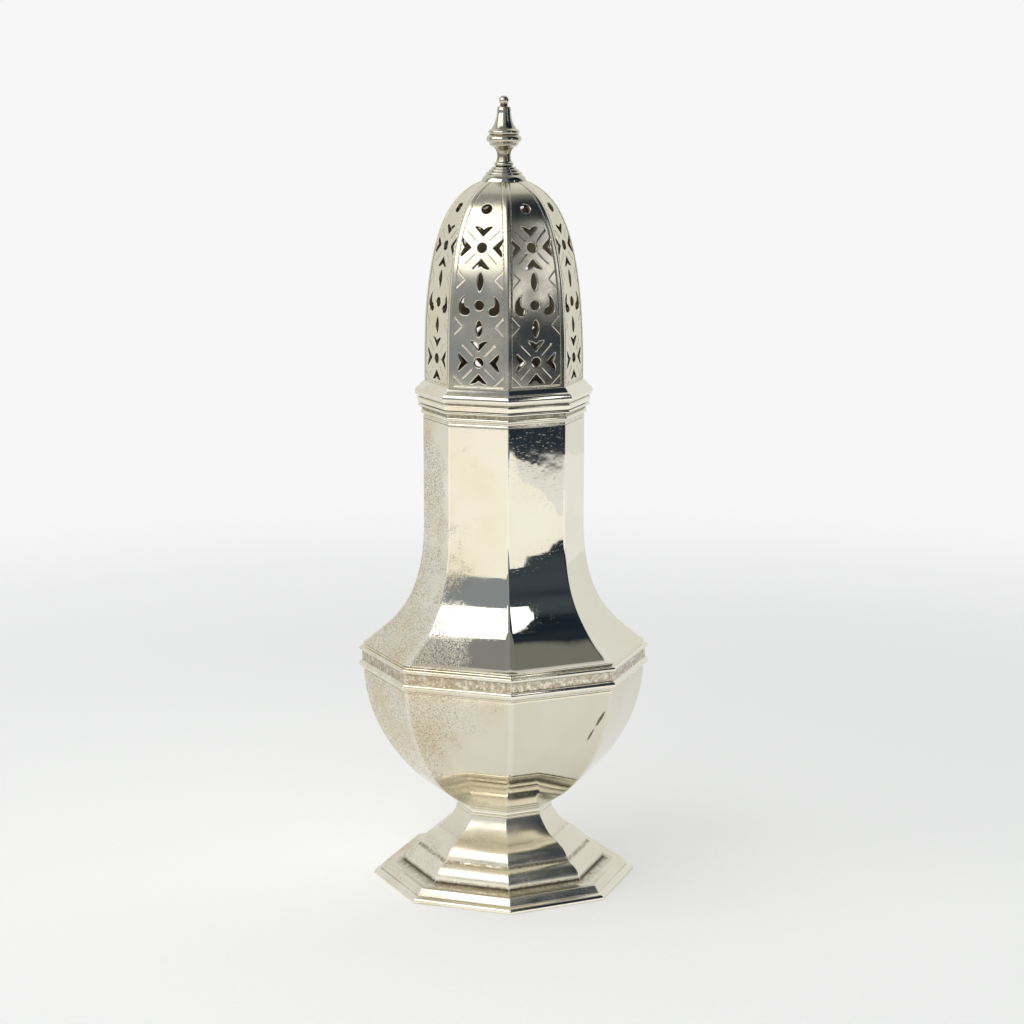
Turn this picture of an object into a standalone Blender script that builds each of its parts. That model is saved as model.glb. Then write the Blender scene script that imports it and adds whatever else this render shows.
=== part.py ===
"""Octagonal silver sugar caster: a footed vase body under a lift-off pierced cover.

Every wall is thin sheet raised to an eight-sided shape, so each shell is one profile turned
in eight steps: the profile is the corner line, and the flats lie between two corners.
Profiles are written in millimetres as (corner radius, height) and scaled when a mesh is made.
The origin is on the table under the middle of the foot, and a corner faces -Y.
"""
from math import atan, atan2, cos, hypot, pi, sin

import bmesh
import bpy
from mathutils import Matrix, Vector

MM = 0.001
SIDES = 8
FLAT = cos(pi / SIDES)        # distance to a flat, for a corner radius of one
WELD = 0.00001                # merge distance in metres
GAP = 0.3                     # solder and seating gap between neighbouring solids

# Driving dimensions, in millimetres. Radii are corner radii.
WALL = 0.9
SLEEVE_WALL = 0.7
FOOT_R = 30.6
FOOT_RIDGE_R = 27.8
WAIST_R = 11.1
GIRDLE_R = 33.4
SHELL_EDGE_R = 32.8           # where the bowl and the shoulder meet the girdle
NECK_R = 18.4
COVER_R = 20.2
DOME_R = 18.1

RIM_Z = 1.2
RIDGE_Z = 3.0
WAIST_Z = 16.2
BOWL_Z = 18.3
GIRDLE_Z = 49.6
SHOULDER_Z = 55.5
NECK_FOOT_Z = 84.0            # where the straight neck starts to sweep out
NECK_TOP_Z = 107.9
SEAT_Z = 111.2
DOME_Z = 116.6
DOME_TOP_Z = 161.2
TOTAL_Z = 180.0

SLEEVE_DEPTH = 10.0           # how far the cover's sleeve reaches down inside the neck
SPIGOT_R, SPIGOT_BORE_R = 1.5, 1.9
DOME_STEPS = 13
FINIAL_STEPS = 20
PUNCH_DEPTH = 1.6             # how far each piercing tool reaches either side of the wall

# Heights of the pierced motifs on each panel of the dome, and their sizes.
TOP_HOLE_Z = 155.6
CROSS_Z = (147.3, 122.2)
LEAF_Z = (139.9, 129.7)
SCROLL_Z = 134.8
HOLE_R = 1.15
LEAF_LENGTH = 4.1
LEAF_WIDTH = 1.5
BARB_TIP, BARB_NOTCH, BARB_END, BARB_HALF = 2.5, 3.9, 4.75, 2.1

SILVER = (0.83, 0.80, 0.74)
SHADED_SILVER = (0.66, 0.61, 0.52)
BRIGHT_SILVER = (0.90, 0.89, 0.86)


# ---- outlines -------------------------------------------------------------------------------

def bezier(start, pull_a, pull_b, end, steps):
    """Points of a cubic curve from start to end, both included."""
    points = []
    for i in range(steps + 1):
        t = i / steps
        weights = ((1 - t) ** 3, 3 * t * (1 - t) ** 2, 3 * t * t * (1 - t), t ** 3)
        knots = (start, pull_a, pull_b, end)
        points.append(tuple(sum(w * k[axis] for w, k in zip(weights, knots)) for axis in (0, 1)))
    return points


def arc(start, end, bulge, steps=4):
    """Points of a circular arc, both ends included.

    bulge is the arc's height over its chord, positive towards the left of the way travelled,
    which is outward on a profile that runs down.
    """
    along = Vector(end) - Vector(start)
    chord = along.length
    along.normalize()
    out = Vector((-along.y, along.x))
    rise = bulge * chord
    radius = (chord * chord / 4 + rise * rise) / (2 * rise)
    middle = (Vector(start) + Vector(end)) / 2 + out * (rise - radius)
    half = 2 * atan(2 * bulge)
    points = []
    for i in range(steps + 1):
        turn = half * (2 * i / steps - 1)
        points.append(tuple(middle + radius * (out * cos(turn) + along * sin(turn))))
    return points


def inset(outline, wall):
    """The outline moved in by the wall, measured square to the flats."""
    flats = [(r * FLAT, z) for r, z in outline]
    moved = []
    for i, (a, z) in enumerate(flats):
        before = flats[max(i - 1, 0)]
        after = flats[min(i + 1, len(flats) - 1)]
        run, rise = after[0] - before[0], after[1] - before[1]
        length = hypot(run, rise)
        moved.append(((a + wall * rise / length) / FLAT, z - wall * run / length))
    return moved


# ---- objects --------------------------------------------------------------------------------

def silver(name, colour, roughness):
    """A polished silver material."""
    material = bpy.data.materials.new(name)
    material.use_nodes = True
    shader = material.node_tree.nodes["Principled BSDF"]
    shader.inputs["Base Color"].default_value = (*colour, 1.0)
    shader.inputs["Metallic"].default_value = 1.0
    shader.inputs["Roughness"].default_value = roughness
    return material


def turn(name, profile, group, steps=SIDES):
    """Turn a closed (radius, height) profile about Z and add it to a collection."""
    mesh = bpy.data.meshes.new(name)
    corners = [(r * MM, 0.0, z * MM) for r, z in profile]
    edges = [(i, (i + 1) % len(corners)) for i in range(len(corners))]
    if profile[0][0] == 0.0 or profile[-1][0] == 0.0:
        edges.pop()
    mesh.from_pydata(corners, edges, [])
    piece = bpy.data.objects.new(name, mesh)
    group.objects.link(piece)
    screw = piece.modifiers.new("turn", "SCREW")
    screw.steps = steps
    screw.render_steps = steps
    screw.use_merge_vertices = True
    screw.merge_threshold = WELD
    screw.use_smooth_shade = steps > SIDES
    return piece


def finish(piece, colour, roughness, axis):
    """Give a piece its own material and hang it on the empty of its body."""
    piece.data.materials.append(silver(piece.name + "_silver", colour, roughness))
    piece.parent = axis
    piece.matrix_parent_inverse = axis.matrix_world.inverted()
    return piece


def body_axis(name, height, group):
    """An empty on the caster's axis that a rigid group of pieces hangs on."""
    empty = bpy.data.objects.new(name, None)
    empty.location = (0.0, 0.0, height * MM)
    group.objects.link(empty)
    bpy.context.view_layer.update()
    return empty


# ---- the body -------------------------------------------------------------------------------

def foot_profile():
    """Stepped foot: flared neck, ovolo, step, ogee, then a cove out to a sloping ridge."""
    break_r, break_z = 15.4, 11.4
    step_r, step_z, step = 19.7, 7.5, 0.4
    cove_r, cove_z = 23.5, 3.4
    edge_r, edge_z = FOOT_RIDGE_R + 1.3, RIM_Z + GAP
    outer = arc((WAIST_R, WAIST_Z), (break_r, break_z), -0.07, 4)
    outer += arc((break_r, break_z), (step_r, step_z), 0.10, 4)[1:]
    outer += arc((step_r + step, step_z - step), (cove_r, cove_z), 0.10, 4)
    outer += arc((cove_r, cove_z), (FOOT_RIDGE_R, RIDGE_Z), -0.08, 3)[1:]
    outer += [(edge_r, edge_z)]
    back = WALL * 0.6
    inner = [(edge_r - WALL / FLAT, edge_z), (FOOT_RIDGE_R - back, RIDGE_Z - WALL)]
    inner += [(cove_r - back, cove_z - WALL), (step_r - WALL, step_z - back)]
    inner += [(break_r - WALL, break_z - back), (WAIST_R - WALL / FLAT, WAIST_Z)]
    return outer + inner


def foot_rim_profile():
    """Flat band under the foot's edge that it stands on, rounded on its outer side."""
    band = 4.0
    inner_r = FOOT_R - band
    outer = arc((FOOT_R - 1.1, RIM_Z), (FOOT_R, 0.0), 0.16, 3)
    return [(inner_r, RIM_Z)] + outer + [(inner_r, 0.0)]


def bowl_profile():
    """Half-round bowl with a flat floor over the stem."""
    rim = (SHELL_EDGE_R - 0.2, GIRDLE_Z - GAP)
    curve = bezier(rim, (32.0, 36.5), (23.6, 23.8), (WAIST_R, BOWL_Z), 12)
    inner = inset(curve, WALL)
    inner[-1] = (WAIST_R - WALL, BOWL_Z + WALL)
    return [(0.0, BOWL_Z + WALL)] + inner[::-1] + curve + [(0.0, BOWL_Z)]


def girdle_profile():
    """Band with a raised bead along each edge and a shallow channel between."""
    top_z = SHOULDER_Z - GAP
    inner_r = SHELL_EDGE_R - 1.5
    channel_r = GIRDLE_R - 0.35
    bead = 1.7
    outer = [(inner_r, top_z)]
    outer += arc((SHELL_EDGE_R, top_z), (channel_r, top_z - bead), 0.35, 4)
    outer += arc((channel_r, GIRDLE_Z + bead), (SHELL_EDGE_R, GIRDLE_Z), 0.35, 4)
    return outer + [(inner_r, GIRDLE_Z)]


def upper_body_profile():
    """Straight neck that sweeps out to the shoulder."""
    bend, edge = (NECK_R, NECK_FOOT_Z), (SHELL_EDGE_R, SHOULDER_Z)
    outer = [(NECK_R, NECK_TOP_Z)] + bezier(bend, (18.6, 64.5), (25.6, 62.0), edge, 12)
    inner = inset(outer, WALL)
    inner[-1] = (SHELL_EDGE_R - 1.5, SHOULDER_Z)
    return outer + inner[::-1]


def neck_moulding_profile():
    """Rim band on the neck: a flat band over a channel and a small bead."""
    inner_r, low_z = NECK_R - WALL / FLAT, NECK_TOP_Z + GAP
    band_r, channel_r = NECK_R + 1.1, NECK_R + 0.3
    outer = [(inner_r, SEAT_Z), (band_r, SEAT_Z), (band_r, SEAT_Z - 1.1)]
    outer += [(channel_r, SEAT_Z - 1.3)]
    outer += arc((channel_r, SEAT_Z - 1.6), (NECK_R + 0.2, low_z), 0.35, 3)
    return outer + [(inner_r, low_z)]


def stem_profile():
    """Short hollow cove between the foot and the bowl."""
    low_z, high_z = WAIST_Z + GAP, BOWL_Z - GAP
    outer = arc((WAIST_R - 0.1, high_z), (WAIST_R, low_z), -0.12, 3)
    inner_r = WAIST_R - WALL / FLAT - GAP
    return outer + [(inner_r, low_z), (inner_r, high_z)]


# ---- the cover ------------------------------------------------------------------------------

def cover_moulding_profile():
    """Seating ring: a thin lower bead, a bold round bead, then a slope up to the dome."""
    low_z, top_z = SEAT_Z + GAP, DOME_Z - GAP
    inner_r = sleeve_outer_r() + GAP / FLAT
    crown_z, edge_r = SEAT_Z + 2.9, COVER_R - 0.7
    outer = [(inner_r, top_z), (DOME_R + 0.2, top_z)]
    outer += arc((edge_r, crown_z + 1.4), (edge_r, crown_z - 1.1), 0.25, 4)
    outer += arc((edge_r - 0.1, crown_z - 1.3), (edge_r - 0.3, low_z), 0.3, 3)
    return outer + [(inner_r, low_z)]


def sleeve_outer_r():
    """Corner radius of the sleeve that slides in the neck's bore."""
    return NECK_R - (WALL + GAP) / FLAT


def sleeve_profile():
    """Plain bezel that the cover rides on, with a small lead-in at its lower edge."""
    lead = 0.4
    outer_r = sleeve_outer_r()
    inner_r = outer_r - SLEEVE_WALL / FLAT
    low_z, high_z = SEAT_Z - SLEEVE_DEPTH, DOME_Z - GAP
    outer = [(outer_r, high_z), (outer_r, low_z + 2 * lead), (outer_r - lead, low_z)]
    return outer + [(inner_r, low_z), (inner_r, high_z)]


def dome_curve():
    """Corner line of the dome, from its crown down to its base."""
    return bezier((5.2, DOME_TOP_Z), (16.2, 157.0), (DOME_R, 140.0), (DOME_R, DOME_Z), DOME_STEPS)


def dome_profile():
    """Dome wall with a small hole in the crown for the finial's spigot."""
    outer = dome_curve()
    inner = inset(outer, WALL)
    inner[0] = (outer[0][0], DOME_TOP_Z - WALL)
    bore = [(SPIGOT_BORE_R, DOME_TOP_Z - WALL), (SPIGOT_BORE_R, DOME_TOP_Z)]
    return outer + inner[::-1] + bore


def collar_profile():
    """Three round steps that rise from the crown to the knob."""
    low_z, base_r = DOME_TOP_Z + GAP, 5.1
    steps = [(2.8, 164.2), (3.7, 163.5), (4.5, 162.8)]
    outer = [(SPIGOT_BORE_R, steps[0][1])]
    for radius, height in steps:
        outer += arc((radius - 0.3, height), (radius, height - 0.45), 0.2, 2)
    return outer + [(base_r, low_z), (SPIGOT_BORE_R, low_z)]


def finial_profile():
    """Turned knob: ball, bell, reeded disc and a waist, on a spigot through the crown."""
    spigot_z = DOME_TOP_Z - 1.5 * WALL
    ball_r, foot_z = 1.0, 164.5
    bell_z, ring_z, disc_z = 177.1, 172.2, 170.6
    ball = arc((0.0, TOTAL_Z), (0.75 * ball_r, TOTAL_Z - 1.7 * ball_r), 0.33, 5)
    bell = arc((1.5, bell_z), (2.8, ring_z + 0.4), -0.07, 4)
    ring = [(3.4, ring_z), (3.3, ring_z - 0.8)]
    disc = arc((3.4, disc_z + 0.6), (3.3, disc_z - 1.2), 0.35, 5)
    waist = arc((2.3, disc_z - 1.9), (1.8, foot_z + 1.0), -0.15, 5)
    base = arc((1.9, foot_z + 0.9), (2.0, foot_z), 0.3, 2)
    spigot = [(SPIGOT_R, foot_z), (SPIGOT_R, spigot_z), (0.0, spigot_z)]
    return ball + bell + ring + disc + waist + base + spigot


# ---- the piercing ---------------------------------------------------------------------------

def round_hole(radius, sides=8):
    """A round hole drawn as a regular polygon."""
    return [(radius * cos(2 * pi * i / sides), radius * sin(2 * pi * i / sides))
            for i in range(sides)]


def cross_motif():
    """A round hole with four fishtail barbs that point at it."""
    barb = [(0.0, BARB_TIP), (BARB_HALF, BARB_END), (0.0, BARB_NOTCH), (-BARB_HALF, BARB_END)]
    outlines = [round_hole(HOLE_R)]
    for quarter in range(4):
        c, s = round(cos(quarter * pi / 2)), round(sin(quarter * pi / 2))
        outlines.append([(c * x - s * y, s * x + c * y) for x, y in barb])
    return outlines


def leaf_motif():
    """A pointed leaf between two arcs."""
    top, low = (0.0, LEAF_LENGTH / 2), (0.0, -LEAF_LENGTH / 2)
    bulge = LEAF_WIDTH / 2 / LEAF_LENGTH
    return [arc(top, low, bulge, 4)[:-1] + arc(low, top, bulge, 4)[:-1]]


def scroll_motif():
    """A round hole between two comma scrolls."""
    tip, foot, throat = (3.3, 2.1), (3.8, -2.05), (3.2, -0.45)
    scroll = arc(tip, foot, 0.24, 4)[:-1] + arc(foot, throat, 0.66, 5)[:-1]
    scroll += arc(throat, tip, -0.12, 2)[:-1]
    mirrored = [(-x, y) for x, y in scroll]
    return [round_hole(HOLE_R), scroll, mirrored]


def punch(outlines):
    """Extrude flat outlines into one closed mesh, square to its own XY plane."""
    curve = bpy.data.curves.new("outline", "CURVE")
    curve.dimensions = "2D"
    curve.fill_mode = "BOTH"
    curve.extrude = PUNCH_DEPTH * MM
    for outline in outlines:
        spline = curve.splines.new("POLY")
        spline.points.add(len(outline) - 1)
        for point, (x, y) in zip(spline.points, outline):
            point.co = (x * MM, y * MM, 0.0, 1.0)
        spline.use_cyclic_u = True
    drawn = bpy.data.objects.new("outline", curve)
    bpy.context.scene.collection.objects.link(drawn)
    bpy.context.view_layer.update()
    seen = drawn.evaluated_get(bpy.context.evaluated_depsgraph_get())
    mesh = bpy.data.meshes.new_from_object(seen)
    bpy.data.objects.remove(drawn)
    return mesh


def panel_frame(curve, height, angle):
    """Placement on a flat of the dome: X across the flat, Y up it, Z straight out of it."""
    for (r0, z0), (r1, z1) in zip(curve, curve[1:]):
        if z1 <= height <= z0:
            share = (height - z1) / (z0 - z1)
            apothem = (r1 + (r0 - r1) * share) * FLAT
            lean = atan2((r1 - r0) * FLAT, z0 - z1)
    out = Vector((cos(angle) * cos(lean), sin(angle) * cos(lean), sin(lean)))
    across = Vector((-sin(angle), cos(angle), 0.0))
    frame = Matrix((across, out.cross(across), out)).transposed().to_4x4()
    frame.translation = Vector((cos(angle) * apothem, sin(angle) * apothem, height)) * MM
    return frame


def piercing_cutter(group):
    """Every piercing tool of the dome, gathered into one cutter."""
    curve = dome_curve()
    cross, leaf = punch(cross_motif()), punch(leaf_motif())
    placed = [(punch([round_hole(HOLE_R)]), TOP_HOLE_Z), (punch(scroll_motif()), SCROLL_Z)]
    placed += [(cross, z) for z in CROSS_Z] + [(leaf, z) for z in LEAF_Z]
    tools = bmesh.new()
    for panel in range(SIDES):
        angle = (panel + 0.5) * 2 * pi / SIDES
        for motif, height in placed:
            stamp = motif.copy()
            stamp.transform(panel_frame(curve, height, angle))
            tools.from_mesh(stamp)
    bmesh.ops.remove_doubles(tools, verts=tools.verts, dist=WELD)
    bmesh.ops.recalc_face_normals(tools, faces=tools.faces)
    mesh = bpy.data.meshes.new("piercing")
    tools.to_mesh(mesh)
    tools.free()
    cutter = bpy.data.objects.new("piercing", mesh)
    cutter.hide_render = True
    cutter.display_type = "WIRE"
    group.objects.link(cutter)
    return cutter


def pierce(dome, cutter):
    """Cut the pattern through the dome."""
    cut = dome.modifiers.new("pierce", "BOOLEAN")
    cut.operation = "DIFFERENCE"
    cut.solver = "EXACT"
    cut.object = cutter


# ---- assembly -------------------------------------------------------------------------------

def build_body(group):
    """Foot, bowl, girdle, neck and their bands, all soldered into one rigid body."""
    axis = body_axis("body_axis", 0.0, group)
    finish(turn("foot_rim", foot_rim_profile(), group), SHADED_SILVER, 0.22, axis)
    finish(turn("foot", foot_profile(), group), BRIGHT_SILVER, 0.12, axis)
    finish(turn("stem_collar", stem_profile(), group), SILVER, 0.16, axis)
    finish(turn("bowl", bowl_profile(), group), SILVER, 0.18, axis)
    finish(turn("girdle_moulding", girdle_profile(), group), SHADED_SILVER, 0.22, axis)
    finish(turn("upper_body", upper_body_profile(), group), SILVER, 0.14, axis)
    finish(turn("neck_moulding", neck_moulding_profile(), group), SILVER, 0.18, axis)


def build_cover(group, cutters):
    """Sleeve, seating ring, pierced dome and finial, which lift off together."""
    axis = body_axis("cover_axis", SEAT_Z, group)
    finish(turn("cover_moulding", cover_moulding_profile(), group), SILVER, 0.16, axis)
    finish(turn("cover_sleeve", sleeve_profile(), group), SHADED_SILVER, 0.28, axis)
    dome = finish(turn("pierced_dome", dome_profile(), group), SILVER, 0.16, axis)
    pierce(dome, piercing_cutter(cutters))
    finish(turn("finial_collar", collar_profile(), group, FINIAL_STEPS), SILVER, 0.2, axis)
    finish(turn("finial", finial_profile(), group, FINIAL_STEPS), SILVER, 0.2, axis)


def main():
    """Clear the scene and build the caster."""
    for old in list(bpy.data.objects):
        bpy.data.objects.remove(old)
    group = bpy.data.collections.new("sugar_caster")
    cutters = bpy.data.collections.new("cutters")
    bpy.context.scene.collection.children.link(group)
    bpy.context.scene.collection.children.link(cutters)
    build_body(group)
    build_cover(group, cutters)


main()
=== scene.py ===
# %% [markdown]
# # An octagonal silver sugar caster
#
# A caster shakes sugar through a pierced cover. This one is made as a silversmith
# makes it: sheet raised to eight sides, soldered wires and mouldings over the seams,
# a pierced and engraved dome, and a small turned finial.
#
# Every shape below is a surface worked out with numpy. A profile is drawn in
# millimetres, softened the way a polishing mop softens metal, and carried round an
# eight-sided or a round section. We start by loading the imported frame, which says
# where each part of the caster sits.

import bpy
import numpy as np
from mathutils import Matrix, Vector, geometry


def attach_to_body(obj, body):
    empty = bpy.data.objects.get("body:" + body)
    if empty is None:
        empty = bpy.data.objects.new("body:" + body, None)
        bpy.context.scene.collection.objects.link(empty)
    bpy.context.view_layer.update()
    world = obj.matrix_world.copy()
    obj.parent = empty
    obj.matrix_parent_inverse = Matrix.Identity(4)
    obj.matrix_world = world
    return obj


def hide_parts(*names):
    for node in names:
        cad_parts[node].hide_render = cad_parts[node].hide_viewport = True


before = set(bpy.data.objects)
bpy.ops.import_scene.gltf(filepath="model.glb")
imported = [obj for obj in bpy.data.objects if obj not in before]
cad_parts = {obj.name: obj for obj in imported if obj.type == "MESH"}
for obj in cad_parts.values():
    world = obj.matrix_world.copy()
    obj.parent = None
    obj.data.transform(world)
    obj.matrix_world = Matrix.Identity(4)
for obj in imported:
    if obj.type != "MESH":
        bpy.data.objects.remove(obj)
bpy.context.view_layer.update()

# %% [markdown]
# ## Drawing a profile
#
# A profile is a line of points (distance from the axis, height). It runs down the
# outside of the sheet and back up the inside, so its left-hand side is always open
# air. Three strokes are enough for hollowware: a straight line, a circular bow and
# a free sweep. `trail` joins strokes into one line.

# %% Strokes
MM = 0.001
SIDES = 8
HALF_SIDE = np.pi / SIDES
FLAT = np.cos(HALF_SIDE)


def line(start, end, count=24):
    """Straight stroke: the start, moved step by step towards the end."""
    share = np.linspace(0, 1, count)[:, None]
    return np.array(start) * (1 - share) + np.array(end) * share


def bow(start, end, bulge, count=60):
    """Circular stroke whose height over its chord is `bulge`, positive to the left.

    The centre lies on the chord's middle line; a point is the centre plus the radius
    times (cosine of the turn * left + sine of the turn * along).
    """
    start, end = np.array(start, float), np.array(end, float)
    chord = np.hypot(*(end - start))
    along = (end - start) / chord
    left = np.array([-along[1], along[0]])
    rise = bulge * chord
    radius = (chord ** 2 / 4 + rise ** 2) / (2 * rise)
    centre = (start + end) / 2 + left * (rise - radius)
    turn = (2 * np.arctan(2 * bulge) * np.linspace(-1, 1, count))[:, None]
    return centre + radius * (left * np.cos(turn) + along * np.sin(turn))


def sweep(start, pull_a, pull_b, end, count=200):
    """Free stroke: a cubic curve that leaves towards pull_a and arrives from pull_b."""
    t = np.linspace(0, 1, count)[:, None]
    knots = [np.array(knot, float) for knot in (start, pull_a, pull_b, end)]
    weights = ((1 - t) ** 3, 3 * t * (1 - t) ** 2, 3 * t ** 2 * (1 - t), t ** 3)
    return sum(weight * knot for weight, knot in zip(weights, knots))


def trail(*strokes):
    """Strokes joined end to end; a bare (x, y) point is allowed between strokes."""
    return np.vstack([np.atleast_2d(stroke) for stroke in strokes])


print("a flat of the octagon stands at", round(float(FLAT), 4), "of its corner radius")

# %% [markdown]
# ## Softening and spacing the profile
#
# Real silver has no knife edges. `even` puts points an equal step apart, and `soften`
# averages each point with its neighbours, the way a mop wears an arris round. Doing it
# on the profile, before anything is carried round, costs nothing in mesh.

# %% Soften
FINE_STEP = 0.025


def even(points, step, closed):
    """The same line with points an equal step apart, found by its running length."""
    if closed:
        points = np.vstack([points, points[:1]])
    run = np.r_[0, np.cumsum(np.hypot(*np.diff(points, axis=0).T))]
    count = max(int(round(run[-1] / step)), 4)
    at = np.linspace(0, run[-1], count + 1)
    if closed:
        at = at[:-1]
    return np.column_stack([np.interp(at, run, points[:, axis]) for axis in (0, 1)])


def blur(values, width, closed):
    """Bell-weighted average along a line, `width` points wide; open ends stay fixed."""
    reach = int(4 * width) + 1
    bell = np.exp(-0.5 * (np.arange(-reach, reach + 1) / width) ** 2)
    bell /= bell.sum()
    if closed:
        longer = np.pad(values, (reach, reach), mode="wrap")
    else:
        longer = np.pad(values, (reach, reach), mode="reflect", reflect_type="odd")
    return np.convolve(longer, bell, mode="valid")


def soften(points, radius, closed, step=FINE_STEP):
    """Even points with every arris rounded over about `radius` millimetres."""
    points = even(points, step, closed)
    return np.column_stack([blur(points[:, axis], radius / step, closed) for axis in (0, 1)])


print("fine step along a profile, mm:", FINE_STEP)

# %% [markdown]
# ## Spacing the profile by effort
#
# `spread` keeps only as many points as the shape needs: one for each few degrees of
# bend or each millimetre or so of run. It also notes how far each point lies below or
# above its surroundings: tarnish settles in the low places and polish keeps the high
# ones bright.

# %% Spread
def ahead(values, closed):
    """Central difference along a line."""
    if closed:
        return (np.roll(values, -1, axis=0) - np.roll(values, 1, axis=0)) / 2
    return np.gradient(values, axis=0)


def spread(points, closed, bend=7.0, reach=1.3):
    """Points spaced by effort, where effort = bend angle / `bend` + length / `reach`.

    Returns rows of (radius, height, outward, upward, relief). Outward and upward are
    the left-hand normal; relief is how far the line lies under its blurred self.
    """
    way = ahead(points, closed)
    length = np.hypot(*way.T)
    way = way / length[:, None]
    angle = np.degrees(np.unwrap(np.arctan2(way[:, 1], way[:, 0])))
    effort = np.r_[0, np.cumsum(np.abs(np.diff(angle)) / bend + length[1:] / reach)]
    normal = np.column_stack([-way[:, 1], way[:, 0]])
    wide = 1.0 / FINE_STEP
    around = np.column_stack([blur(points[:, axis], wide, closed) for axis in (0, 1)])
    relief = ((around - points) * normal).sum(axis=1)
    count = max(int(np.ceil(effort[-1])), 6)
    at = np.linspace(0, effort[-1], count + 1)
    if closed:
        at = at[:-1]
    columns = np.column_stack([points, normal, relief])
    return np.column_stack([np.interp(at, effort, column) for column in columns.T])


test_line = spread(soften(trail(line((0, 0), (4, 0)), line((4, 0), (4, 4))), 0.1, False), False)
print("points that a softened right angle needs:", len(test_line))

# %% [markdown]
# ## The eight-sided section
#
# All the raised sheet has the same plan: eight flats with slightly rounded corners.
# Two direction lists describe it for any size. A point of the section is
# (flat distance - corner) * seat + corner * facing. Along a flat the facing is fixed
# and the seat walks from corner to corner; round a corner the seat stays and the
# facing turns. A turned piece uses a plain circle, where seat and facing are equal.

# %% Sections
def octagon(across=12, corner_steps=6):
    """Facing and seat directions round a rounded octagon whose corners face +X and -Y.

    At a corner the seat is the tip, one over FLAT from the axis, and the facing swings
    through one side's turn. On a flat the seat is the middle's facing plus walk times
    the direction along the flat, and the facing is the middle's own.
    """
    corner = np.arange(SIDES)[:, None] * 2 * HALF_SIDE
    swing = np.linspace(-HALF_SIDE, HALF_SIDE, corner_steps + 1)[None, :]
    walk = np.linspace(-1, 1, across + 1)[None, 1:-1] * np.tan(HALF_SIDE)
    middle = corner + HALF_SIDE + 0 * walk
    turn = np.hstack([corner + swing, middle])
    facing = np.dstack([np.cos(turn), np.sin(turn)])
    tip = np.dstack([np.cos(corner + 0 * swing), np.sin(corner + 0 * swing)]) / FLAT
    flat = np.dstack([np.cos(middle) - walk * np.sin(middle),
                      np.sin(middle) + walk * np.cos(middle)])
    seat = np.hstack([tip, flat])
    return facing.reshape(-1, 2), seat.reshape(-1, 2)


def circle(steps=56):
    """Facing and seat directions round a circle: both are the same unit directions."""
    turn = np.arange(steps) * 2 * np.pi / steps
    facing = np.column_stack([np.cos(turn), np.sin(turn)])
    return facing, facing


EIGHT = octagon()
ROUND = circle()
print("points round the octagon:", len(EIGHT[0]), "round a turned piece:", len(ROUND[0]))

# %% [markdown]
# ## Carrying a profile round, and the smith's hammer
#
# `carry` makes the grid of points and their exact normals. `planish` then moves them
# by a few thousandths of a millimetre, in long crossing waves. Planishing and
# polishing by hand leave such waves; they are far too faint to see as shape, but
# every reflection in real silver wavers because of them.

# %% Carry and planish
PLANISH_SLOPE = 0.0032
WAVES = 28


def carry(outline, section, corner):
    """Grid of points and normals of a profile carried round a section.

    The normal is outward * facing, with an upward part that grows by seat . facing
    round the corners, which keeps it square to the sloping arris.
    """
    facing, seat = section
    radius, height, outward, upward = (column[:, None] for column in outline[:, :4].T)
    rounding = np.minimum(corner, 0.45 * radius)
    plan = (radius - rounding)[..., None] * seat + rounding[..., None] * facing
    lift = (seat * facing).sum(axis=1)
    points = np.dstack([plan, height + 0 * lift])
    normals = np.dstack([outward[..., None] * facing, upward * lift])
    return points, normals / np.linalg.norm(normals, axis=2, keepdims=True)


def planish(points, normals, slope=PLANISH_SLOPE):
    """Moves points along their normals by a sum of sine waves, and tilts the normals.

    Waves from 24 down to 5 mm long run in evenly spread directions, each steep enough
    to add the same share of the total slope. The tilt is the waves' exact derivative.
    """
    order = np.arange(WAVES) + 0.5
    climb = 1 - 2 * order / WAVES
    around = order * 2.4
    level = np.sqrt(1 - climb ** 2)
    heading = np.column_stack([level * np.cos(around), level * np.sin(around), climb])
    pace = 2 * np.pi / np.geomspace(24, 5, WAVES)[(order * 11).astype(int) % WAVES]
    waves = heading * pace[:, None]
    size = slope / (pace * np.sqrt(WAVES / 2))
    phase = points @ waves.T + order * 1.9
    height = (size * np.sin(phase)).sum(axis=-1, keepdims=True)
    tilt = (size * np.cos(phase)) @ waves
    tilt -= (tilt * normals).sum(axis=-1, keepdims=True) * normals
    turned = normals - tilt
    return points + height * normals, turned / np.linalg.norm(turned, axis=-1, keepdims=True)


print("planishing waves:", WAVES, "total slope:", PLANISH_SLOPE)

# %% [markdown]
# ## From arrays to a Blender object
#
# The grid closes on itself round the axis. Where a profile starts or ends on the axis,
# that row is one single point. The maker's notes, such as the relief, go on the mesh
# as attributes, for the finishes to read. `attach` ties a piece to its body.

# %% Grid to mesh
def grid_faces(rows, columns, looped, poles):
    """Corner numbers of the faces between neighbouring rows, outward side first."""
    number = np.arange(rows * columns).reshape(rows, columns)
    for row, is_pole in zip((0, -1), poles):
        if is_pole:
            number[row, :] = number[row, 0]
    upper = number if looped else number[:-1]
    lower = np.roll(number, -1, axis=0) if looped else number[1:]
    faces = np.dstack([upper, lower, np.roll(lower, -1, axis=1), np.roll(upper, -1, axis=1)])
    faces = faces.reshape(-1, 4)
    top = faces[:, 0] == faces[:, 3]
    bottom = faces[:, 1] == faces[:, 2]
    whole = faces[~(top | bottom)].tolist()
    return whole + faces[top][:, :3].tolist() + faces[bottom][:, [0, 1, 3]].tolist()


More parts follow.
